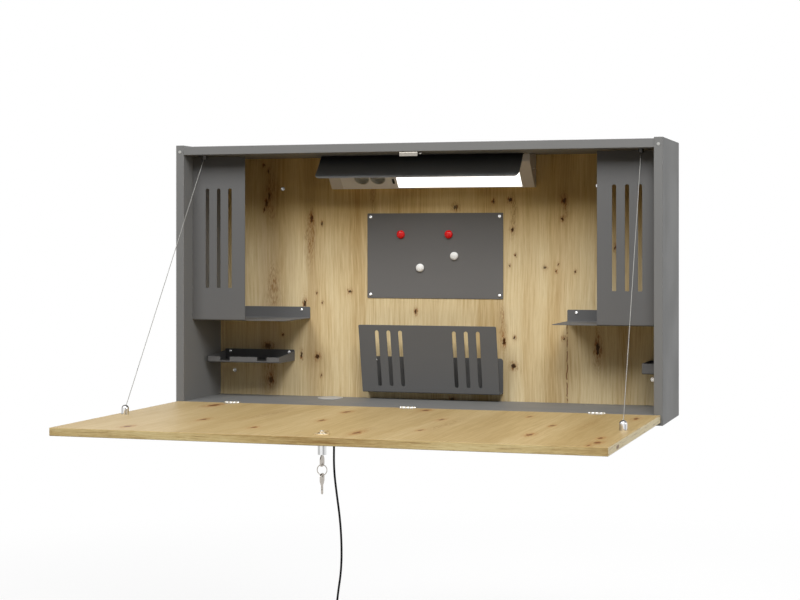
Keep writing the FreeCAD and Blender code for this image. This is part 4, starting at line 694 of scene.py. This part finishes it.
TIE_CLOTH = moulded("tie_cloth", paint(40, 40, 42), 0.85, grain=0.9)
BUMPER_RUBBER = moulded("clear_bumper", paint(176, 176, 172), 0.3, grain=0.1)
OPAL = opal_diffuser()
RED_MAGNET = glossy_magnet("red_magnet", paint(236, 6, 6))
WHITE_MAGNET = glossy_magnet("white_magnet", paint(250, 250, 248))
HINGE_NICKEL = hinge_plating()
# The sixth value of drawn_metal is how strongly the painted reflection bands show in the colour.
CHROME = drawn_metal("chrome_plate", paint(236, 236, 236), 0.10, EVEN_BRUSHING, 0.05, 1.0)
# Chrome painted dark as painted shade, for the wire anchors in the shadow of the top panel.
PAINTED_SHADE_CHROME = drawn_metal("chrome_painted_shade", paint(70, 68, 65), 0.38, EVEN_BRUSHING, 0.05)
ZINC_STEEL = drawn_metal("bright_zinc_steel", paint(238, 238, 238), 0.24, UPRIGHT_BRUSHING)
KEY_STEEL = drawn_metal("key_nickel_silver", paint(182, 175, 166), 0.30, KEY_BRUSHING, 0.2, 0.45)
LOCK_NICKEL = drawn_metal("lock_nickel", paint(216, 198, 162), 0.42, EVEN_BRUSHING, 0.05)
CAST_ZINC = drawn_metal("cast_zinc", paint(126, 125, 122), 0.5, CAST_GRAIN, 0.2, metallic=0.5)
WIRE_STEEL = drawn_metal("stay_wire_steel", paint(148, 147, 143), 0.5, WIRE_BRUSHING, metallic=0.3)
STRIKE_ZINC = drawn_metal("strike_plate_zinc", paint(146, 141, 133), 0.42, PLATE_BRUSHING)
ALUMINIUM = drawn_metal("light_strip_aluminium", paint(214, 214, 214), 0.35, STRIP_BRUSHING)


def dress_frame():
    dress(LAMINATE, "side_panel_left", "side_panel_right", "top_panel", "bottom_panel")
    dress(OAK_BACK, "back_panel")
    dress(OAK_DOOR, "door_panel")
    dress(BEECH, "carcass_dowels")
    dress(RACK_COAT, "side_rack_left", "side_rack_right")
    dress(RACK_COAT, "document_holder", "pen_tray", "small_tray")
    dress(BOARD_COAT, "magnet_board")
    dress(SHADE_COAT, "lamp_shade")
    dress(LAMP_COAT, "lamp_body")
    dress(CAP_PLASTIC, "lamp_cap_left", "lamp_cap_right")
    dress(OPAL, "lamp_diffuser")
    dress(ALUMINIUM, "led_strip")
    dress(SOCKET_PLASTIC, "socket_inserts")
    dress(GROMMET_PLASTIC, "grommet_ring", "grommet_cap")
    dress(BLACK_PLASTIC, "usb_port", "lamp_driver", "mains_plug")
    dress(BUMPER_RUBBER, "door_bumpers")
    dress(RED_MAGNET, "magnet_1", "magnet_2")
    dress(WHITE_MAGNET, "magnet_3", "magnet_4")
    dress(CORD_RUBBER, "lamp_lead", "cord_gland", "power_cord", "cord_coil")
    for side in ("left", "middle", "right"):
        dress(HINGE_NICKEL, "hinge_leaf_cabinet_" + side, "hinge_leaf_door_" + side)
    dress(CHROME, "wire_anchors_door", "lock_housing", "lock_plug")
    dress(LOCK_NICKEL, "lock_nut", "lock_cam")
    dress(PAINTED_SHADE_CHROME, "wire_anchors_top")
    dress(STRIKE_ZINC, "strike_plate")
    dress(ZINC_STEEL, "hinge_pins", "cam_screw", "fitting_screws", "top_screws", "lamp_cap_screws")
    dress(ZINC_STEEL, "hinge_screws_cabinet", "hinge_screws_door")
    dress(WIRE_STEEL, "stay_wire_left", "stay_wire_right")
    dress(KEY_STEEL, "lock_key", "spare_key", "key_ring")
    dress(CAST_ZINC, "cam_fittings")


# ---- meshes: the tools


def data_of(name, mesh):
    """A mesh with the shape of a bmesh, which it uses up."""
    data = bpy.data.meshes.new(name)
    mesh.to_mesh(data)
    mesh.free()
    return data


def object_of(name, mesh, finish, smooth=True):
    """A new object in the scene from a bmesh."""
    data = data_of(name, mesh)
    for face in data.polygons:
        face.use_smooth = smooth
    data.materials.append(finish.material)
    made = bpy.data.objects.new(name, data)
    bpy.context.collection.objects.link(made)
    return made


def ring_of(mesh, radius, height, steps=24):
    """Points evenly round Z at a height, or the one point in the middle."""
    if radius == 0:
        return [mesh.verts.new((0, 0, height))]
    turn = [2 * math.pi * i / steps for i in range(steps)]
    return [mesh.verts.new((radius * math.cos(a), radius * math.sin(a), height)) for a in turn]


def lathe(profile, steps=32):
    """A bmesh turned about Z from (radius, height) points; a zero radius closes it."""
    mesh = bmesh.new()
    rings = [ring_of(mesh, radius, height, steps) for radius, height in profile]
    for low, high in zip(rings, rings[1:]):
        for i in range(steps):
            j = (i + 1) % steps
            corners = [low[i % len(low)], low[j % len(low)]]
            corners += [high[j % len(high)], high[i % len(high)]]
            corners = [v for k, v in enumerate(corners) if v not in corners[:k]]
            if len(corners) > 2:
                mesh.faces.new(corners)
    bmesh.ops.recalc_face_normals(mesh, faces=mesh.faces)
    return mesh


def sharpened(mesh, degrees=32.0):
    """Smooth shading that keeps the edges sharper than an angle."""
    for face in mesh.polygons:
        face.use_smooth = True
    mesh.set_sharp_from_angle(angle=math.radians(degrees))
    return mesh


def scattered(name, mesh, places, finish):
    """One object with a copy of a mesh at each place, as (point, the way its Z turns)."""
    together = bmesh.new()
    for point, out in places:
        copy = mesh.copy()
        turn = Z_AXIS.rotation_difference(out).to_matrix().to_4x4()
        copy.transform(Matrix.Translation(point) @ turn)
        together.from_mesh(copy)
        bpy.data.meshes.remove(copy)
    made = object_of(name, together, finish)
    sharpened(made.data)
    return made


def clumps(node, axis, spread=0.009, depth=0.04):
    """The separate pieces of a CAD node, as (lowest corner, highest corner)."""
    other = [i for i in range(3) if i != axis]
    found = []
    for vertex in NODES[node].data.vertices:
        co = vertex.co
        for first, low, high in found:
            near = max(abs(co[i] - first[i]) for i in other)
            if near < spread and abs(co[axis] - first[axis]) < depth:
                for i in range(3):
                    low[i] = min(low[i], co[i])
                    high[i] = max(high[i], co[i])
                break
        else:
            found.append((co.copy(), co.copy(), co.copy()))
    return [(low, high) for first, low, high in found]


# ---- screws


def cross_of(mesh, reach, half, height):
    """The twelve corners of a cross, in order."""
    quarter = ((reach, -half), (reach, half), (half, half))
    corners = []
    for turn in range(4):
        for x, y in quarter:
            for _ in range(turn):
                x, y = -y, x
            corners.append(mesh.verts.new((x, y, height)))
    return corners


def joined_rings(mesh, low, high):
    for i in range(len(low)):
        j = (i + 1) % len(low)
        mesh.faces.new((low[i], low[j], high[j], high[i]))


def skinned(mesh, rings):
    """Faces between rings of points, and one over each end."""
    for low, high in zip(rings, rings[1:]):
        joined_rings(mesh, low, high)
    mesh.faces.new(list(reversed(rings[0])))
    mesh.faces.new(rings[-1])


def loop_edges(mesh, loop):
    return [mesh.edges.new((loop[i], loop[(i + 1) % len(loop)])) for i in range(len(loop))]


def recessed_screw(profile, recess):
    """A screw with its top at z = 0, turned from (radius, height) points, with a cross recess."""
    mesh = bmesh.new()
    top = ring_of(mesh, profile[0][0], 0.0)
    reach = profile[0][0] * 0.8
    mouth = cross_of(mesh, reach, reach * 0.26, 0.0)
    floor = cross_of(mesh, reach * 0.45, reach * 0.18, -recess)
    edges = loop_edges(mesh, top) + loop_edges(mesh, mouth)
    bmesh.ops.triangle_fill(mesh, use_beauty=True, edges=edges)
    joined_rings(mesh, floor, mouth)
    mesh.faces.new(floor)
    above = top
    for radius, height in profile[1:-1]:
        ring = ring_of(mesh, radius, height)
        joined_rings(mesh, ring, above)
        above = ring
    tip = mesh.verts.new((0.0, 0.0, profile[-1][1]))
    for i in range(len(above)):
        mesh.faces.new((above[i], tip, above[(i + 1) % len(above)]))
    bmesh.ops.recalc_face_normals(mesh, faces=mesh.faces)
    return data_of("screw", mesh)


def screws_along(node, axis, out, mesh_of, body, finish=ZINC_STEEL):
    """Replaces a CAD node of screws with recessed ones; with no way out they face both ends."""
    places = []
    length = radius = 0.0
    for low, high in clumps(node, axis):
        centre = (low + high) / 2
        way = out
        if way is None:
            way = X_AXIS if centre.x > LAMP_MIDDLE else -X_AXIS
        tip = centre.copy()
        tip[axis] = (high if way[axis] > 0 else low)[axis]
        places.append((tip, way))
        length = high[axis] - low[axis]
        radius = max((high - low)[i] for i in range(3) if i != axis) / 2
    made = scattered(node + "_recessed", mesh_of(radius, length), places, finish)
    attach(made, body)
    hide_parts(node)
    return made


SCREW_HEAD = 0.002
SCREW_SHANK_R = 0.0019


def pan_screw_mesh(radius, length):
    """A pan head screw whose top is at z = 0."""
    head = [(radius * 0.62, 0.0), (radius * 0.86, -0.0003), (radius, -0.0009)]
    head.append((radius, -SCREW_HEAD))
    shank = [(SCREW_SHANK_R, -SCREW_HEAD), (SCREW_SHANK_R, -length * 0.85), (0.0, -length)]
    return recessed_screw(head + shank, SCREW_HEAD * 0.7)


def flat_screw_mesh(radius, length):
    """A countersunk screw whose head ends at z = 0."""
    shank = radius / 2
    head = [(radius * 0.94, 0.0), (radius, -0.0002), (shank, -shank)]
    return recessed_screw(head + [(shank, -length * 0.85), (0.0, -length)], radius * 0.5)


def add_screws():
    screws_along("fitting_screws", 1, -Y_AXIS, pan_screw_mesh, "cabinet")
    screws_along("top_screws", 2, -Z_AXIS, pan_screw_mesh, "cabinet")
    screws_along("lamp_cap_screws", 0, None, pan_screw_mesh, "cabinet")
    screws_along("hinge_screws_cabinet", 2, Z_AXIS, flat_screw_mesh, "cabinet", HINGE_NICKEL)
    screws_along("hinge_screws_door", 2, Z_AXIS, flat_screw_mesh, "door", HINGE_NICKEL)
    screws_along("cam_screw", 2, Z_AXIS, pan_screw_mesh, "lock_core", HINGE_NICKEL)


WALL_SCREW_R = 0.0043
WALL_SCREW_SUNK = 0.0008
WALL_SCREW_LENGTH = -BACK_FACE - 0.002


def add_wall_screws():
    """The four countersunk screws that hold the back panel to the wall."""
    places = []
    for mount in frame["record"]["mounts"]:
        if mount["kind"] != "bolt_pattern":
            continue
        middle = Vector(mount["pos_m"])
        half = mount["dims"]["spacing_x_mm"] / 2000
        for side in (-1, 1):
            places.append((Vector((side * half, BACK_FACE - WALL_SCREW_SUNK, middle.z)), -Y_AXIS))
    mesh = flat_screw_mesh(WALL_SCREW_R, WALL_SCREW_LENGTH)
    made = scattered("wall_screws", mesh, places, ZINC_STEEL)
    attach(made, "cabinet")


WIRE_HOLE_R = 0.0014
WIRE_HOLE_DEPTH = 0.004
POST_STRAIGHT = 0.62


def add_door_anchors():
    """The domed posts on the door that the stay wires come out of."""
    low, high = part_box("wire_anchors_door")
    radius = (high.y - low.y) / 2
    height = high.z - low.z
    straight = height * POST_STRAIGHT
    profile = [(0.0, 0.0), (radius, 0.0), (radius, straight)]
    for i in range(1, 9):  # the dome, up to the hole
        angle = math.radians(9 * i)
        profile.append((radius * math.cos(angle), straight + (height - straight) * math.sin(angle)))
    floor = height - WIRE_HOLE_DEPTH
    profile += [(WIRE_HOLE_R, height), (WIRE_HOLE_R, floor), (0.0, floor)]
    posts = bmesh.new()
    for x in (low.x + radius, high.x - radius):
        mesh = lathe(profile, 40)
        bmesh.ops.translate(mesh, vec=(x, (low.y + high.y) / 2, low.z), verts=mesh.verts)
        piece = data_of("post", mesh)
        posts.from_mesh(piece)
        bpy.data.meshes.remove(piece)
    made = object_of("wire_posts", posts, CHROME)
    sharpened(made.data, 40.0)
    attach(made, "door")
    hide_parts("wire_anchors_door")


MAGNET_BODIES = {"magnet_%d" % i: "magnet_" + letter for i, letter in enumerate("abcd", start=1)}
CAP_SIDE = 0.3


def add_magnets():
    """Domed caps over the round magnets."""
    for name, body in MAGNET_BODIES.items():
        low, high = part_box(name)
        radius = (high.x - low.x) / 2
        height = high.y - low.y
        side = height * CAP_SIDE
        profile = [(0.0, 0.0), (radius * 0.92, 0.0), (radius, height * 0.08)]
        for i in range(13):
            angle = math.radians(90 * i / 12)
            profile.append((radius * math.cos(angle), side + (height - side) * math.sin(angle)))
        profile[-1] = (0.0, height)
        mesh = lathe(profile, 48)
        turn = Z_AXIS.rotation_difference(-Y_AXIS).to_matrix().to_4x4()
        centre = Vector(((low.x + high.x) / 2, high.y, (low.z + high.z) / 2))
        bmesh.ops.transform(mesh, matrix=Matrix.Translation(centre) @ turn, verts=mesh.verts)
        red = name in ("magnet_1", "magnet_2")
        made = object_of(name + "_cap", mesh, RED_MAGNET if red else WHITE_MAGNET)
        sharpened(made.data, 50.0)
        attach(made, body)
        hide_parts(name)


# ---- stay wires


WIRE_STRANDS = 6
WIRE_LAY = 0.016  # length in which a strand goes once round
STRAND_R = 0.00026
STEPS_PER_LAY = 10
WIRE_R = 0.001
# Each span of a wire: where it starts and ends on the wire, 0 at the door, and how far its two
# ends follow the door as it closes.
WIRE_SPANS = ((0.0, 0.15, 1.0, 0.7375), (0.15, 0.5, 0.7375, 0.38), (0.5, 1.0, 0.38, 0.0))


def wire_line(side):
    """Lower and upper end of a stay wire, from the CAD wire's box."""
    low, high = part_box("stay_wire_" + side)
    inward = 1 if side == "left" else -1
    outer = low.x if side == "left" else high.x
    inner = high.x if side == "left" else low.x
    foot = Vector((outer + inward * WIRE_R, low.y, low.z))
    return foot, Vector((inner - inward * WIRE_R, high.y, high.z))


def twisted_strands(start, end, low, high):
    """The strands of a wire rope between two shares of its length."""
    mesh = bmesh.new()
    along = (end - start).normalized()
    across = along.cross(X_AXIS).normalized()
    up = along.cross(across)
    length = (end - start).length
    spread = STRAND_R * 1.95
    steps = max(2, int(length * (high - low) / WIRE_LAY * STEPS_PER_LAY))
    sides = 6
    for strand in range(WIRE_STRANDS + 1):
        rings = []
        for step in range(steps + 1):
            share = low + (high - low) * step / steps
            turn = 2 * math.pi * (share * length / WIRE_LAY + strand / WIRE_STRANDS)
            offset = spread if strand < WIRE_STRANDS else 0.0
            centre = start + along * (share * length)
            centre += (across * math.cos(turn) + up * math.sin(turn)) * offset
            ring = []
            for k in range(sides):
                angle = 2 * math.pi * k / sides
                out = across * math.cos(angle) + up * math.sin(angle)
                ring.append(mesh.verts.new(centre + out * STRAND_R))
            rings.append(ring)
        skinned(mesh, rings)
    return mesh


def add_stay_wires():
    """Twisted steel wires from the door to the cabinet, each built in three spans."""
    for side in ("left", "right"):
        start, end = wire_line(side)
        for number, (low, high, follow_low, follow_high) in enumerate(WIRE_SPANS, start=1):
            name = "stay_wire_%s_span_%d" % (side, number)
            piece = object_of(name, twisted_strands(start, end, low, high), WIRE_STEEL)
            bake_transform(piece)
        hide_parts("stay_wire_" + side)


# ---- mains lead


CORD_DIAMETER = 0.005
CORD_ROUTE = (
    (-0.2504, -0.0046, -0.3035),
    (-0.2504, -0.0046, -0.3365),
    (-0.2513, -0.0056, -0.3885),
    (-0.2511, -0.0072, -0.4455),
    (-0.2442, -0.0088, -0.4985),
    (-0.2345, -0.0110, -0.5585),
    (-0.2294, -0.0134, -0.6199),
    (-0.2296, -0.0158, -0.6792),
    (-0.2370, -0.0180, -0.7305),
    (-0.2412, -0.0200, -0.7778),
)
COIL_R = 0.028
COIL_DROP = 0.025
COIL_TURNS = 7
COIL_STEPS = 16
PLUG_TAIL = 0.015
# Where each turn lies in the bundle, in cord diameters: outwards and towards the room.
COIL_BUNDLE = (0, 0), (0, 1), (0.87, 0.5), (0.87, -0.5), (0, -1), (-0.87, -0.5), (-0.87, 0.5)
COIL_PITCH = CORD_DIAMETER * 1.02
COIL_CROSSING = 0.3  # the last part of each turn, in which it crosses to the next place


def coil_centre():
    x, y, z = CORD_ROUTE[-1]
    return Vector((x + COIL_R, y, z - COIL_DROP))


def coil_points():
    """The turns of the tied coil, down its left side first, and the tail to the plug."""
    centre = coil_centre()
    points = []
    for step in range(COIL_TURNS * COIL_STEPS + 1):
        turns = step / COIL_STEPS
        number = min(int(turns), COIL_TURNS - 1)
        into = turns - number
        here = COIL_BUNDLE[number]
        after = COIL_BUNDLE[number + 1] if number + 1 < COIL_TURNS else (0.0, 1.0)
        ease = max(0.0, (into - (1 - COIL_CROSSING)) / COIL_CROSSING)
        ease = ease * ease * (3 - 2 * ease)
        out = (here[0] + (after[0] - here[0]) * ease) * COIL_PITCH
        room = (here[1] + (after[1] - here[1]) * ease) * COIL_PITCH
        angle = math.pi + 2 * math.pi * turns
        reach = COIL_R / math.cos(math.pi / COIL_STEPS) ** 0.7 + out
        points.append(centre + Vector((reach * math.cos(angle), -room, reach * math.sin(angle))))
    last = points[-1]
    points.append(last + Vector((0.0, 0.0, -0.014)))
    head = centre + Vector((-COIL_R, 0.0, -COIL_DROP - PLUG_TAIL))
    points.append(head + Vector((0.0, 0.0, 0.012)))
    points.append(head - Vector((0.0, 0.0, 0.004)))
    return points


def add_cord():
    curve = bpy.data.curves.new("mains_lead", "CURVE")
    curve.dimensions = "3D"
    curve.resolution_u = 6
    curve.bevel_depth = CORD_DIAMETER / 2
    curve.bevel_resolution = 4
    curve.use_fill_caps = True
    spline = curve.splines.new("NURBS")
    points = [Vector(p) for p in CORD_ROUTE] + coil_points()
    spline.points.add(len(points) - 1)
    for slot, point in zip(spline.points, points):
        slot.co = (*point, 1.0)
    spline.order_u = 3
    spline.use_endpoint_u = True
    curve.materials.append(CORD_RUBBER.material)
    cord = bpy.data.objects.new("mains_lead", curve)
    bpy.context.collection.objects.link(cord)
    tie = add_tie()
    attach(cord, "cabinet")
    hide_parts("power_cord", "cord_coil")


def add_tie():
    """A cloth tie round the right side of the coil, its end lapped over."""
    centre = coil_centre() + Vector((COIL_R, 0.0, 0.0))
    mesh = bmesh.new()
    half_width = 0.006
    inner = CORD_DIAMETER * 1.58
    sheet = 0.0011
    steps = 40
    rings = []
    for step in range(steps + 6):
        angle = 2 * math.pi * step / steps
        lift = sheet * 1.05 * max(0.0, min(1.0, (step - steps + 3) / 4))
        ring = []
        for radius, side in ((inner, -1), (inner, 1), (inner + sheet, 1), (inner + sheet, -1)):
            r = radius + lift
            out = Vector((r * math.cos(angle), r * math.sin(angle), side * half_width))
            ring.append(mesh.verts.new(centre + out))
        rings.append(ring)
    skinned(mesh, rings)
    bmesh.ops.recalc_face_normals(mesh, faces=mesh.faces)
    tie = object_of("coil_tie", mesh, TIE_CLOTH)
    sharpened(tie.data)
    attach(tie, "cabinet")
    return tie


# ---- floor, lights and camera


FLOOR_DOWN = -1.02
FLOOR_REACH = 16.0
FLOOR_FADES = (0.6, 3.2)
WORLD_LIGHT = 0.05
LIGHT_AWAY = 3.2


class Backdrop(Finish):
    """The one Background shader of the world."""

    def __init__(self, world):
        world.use_nodes = True
        self.take(world.node_tree, "Background")


def seen_straight(finish):
    """1 where the camera, a mirror or clear glass looks, and 0 where light falls."""
    kinds = ("Camera", "Glossy", "Transmission")
    camera, mirror, glass = [
        finish.node("ShaderNodeLightPath", output="Is %s Ray" % kind) for kind in kinds
    ]
    return camera.most(mirror).most(glass)


def add_floor():
    """A pale floor under the desk that keeps its shadow."""
    mesh = bmesh.new()
    bmesh.ops.create_grid(mesh, x_segments=1, y_segments=1, size=FLOOR_REACH)
    finish = Finish("pale_floor", roughness=0.9, specular_ior_level=0.0)
    away = finish.graded(finish.length(finish.place()), *FLOOR_FADES)
    finish.feed("Base Color", finish.mixed(away, paint(190, 190, 190), paint(0, 0, 0)))
    finish.feed("Emission Color", finish.mixed(away, paint(208, 208, 208), paint(255, 255, 255)))
    finish.feed("Emission Strength", seen_straight(finish))
    floor = object_of("floor", mesh, finish, smooth=False)
    floor.location = (0.0, 0.0, FLOOR_DOWN)


def add_world():
    """White where it is seen or mirrored, and a plain soft light everywhere else."""
    world = bpy.data.worlds.new("studio")
    bpy.context.scene.world = world
    backdrop = Backdrop(world)
    backdrop.feed("Color", (1.0, 1.0, 1.0, 1.0))
    seen = seen_straight(backdrop)
    backdrop.feed("Strength", backdrop.graded(seen, 0.0, 1.0, WORLD_LIGHT, 1.0))


def add_light(name, place, target, size, power):
    light = bpy.data.lights.new(name, "AREA")
    light.shape = "RECTANGLE"
    light.size, light.size_y = size
    light.energy = power
    made = bpy.data.objects.new(name, light)
    made.location = place
    made.rotation_euler = (Vector(target) - Vector(place)).to_track_quat("-Z", "Y").to_euler()
    bpy.context.collection.objects.link(made)


def round_object(turn, height):
    """A place at an angle round the object, 0 in front of it, and an angle above it."""
    turn = math.radians(turn)
    height = math.radians(height)
    flat = LIGHT_AWAY * math.cos(height)
    return flat * math.sin(turn), -flat * math.cos(turn), LIGHT_AWAY * math.sin(height)


def add_lights():
    middle = (0.0, -0.1, 0.0)
    add_light("left_key", round_object(-25, 41), middle, (1.3, 1.6), 52.0)
    add_light("right_key", round_object(25, 41), middle, (1.3, 1.6), 67.0)
    add_light("side_light", round_object(75, 8), middle, (1.3, 1.4), 20.0)
    add_light("back_light", round_object(180, 35), middle, (1.6, 1.4), 50.0)


def add_camera():
    data = bpy.data.cameras.new("view")
    data.sensor_width = CAMERA_SENSOR
    data.lens = CAMERA_LENS
    data.shift_x, data.shift_y = CAMERA_SHIFT
    camera = bpy.data.objects.new("view", data)
    camera.location = CAMERA_PLACE
    camera.rotation_euler = (math.radians(90.0), 0.0, CAMERA_TURN)
    bpy.context.collection.objects.link(camera)
    bpy.context.scene.camera = camera


dress_frame()
add_cord()
add_stay_wires()
add_screws()
add_wall_screws()
add_magnets()
add_door_anchors()
add_floor()
add_world()
add_lights()
add_camera()

bpy.context.scene.view_settings.view_transform = "Standard"
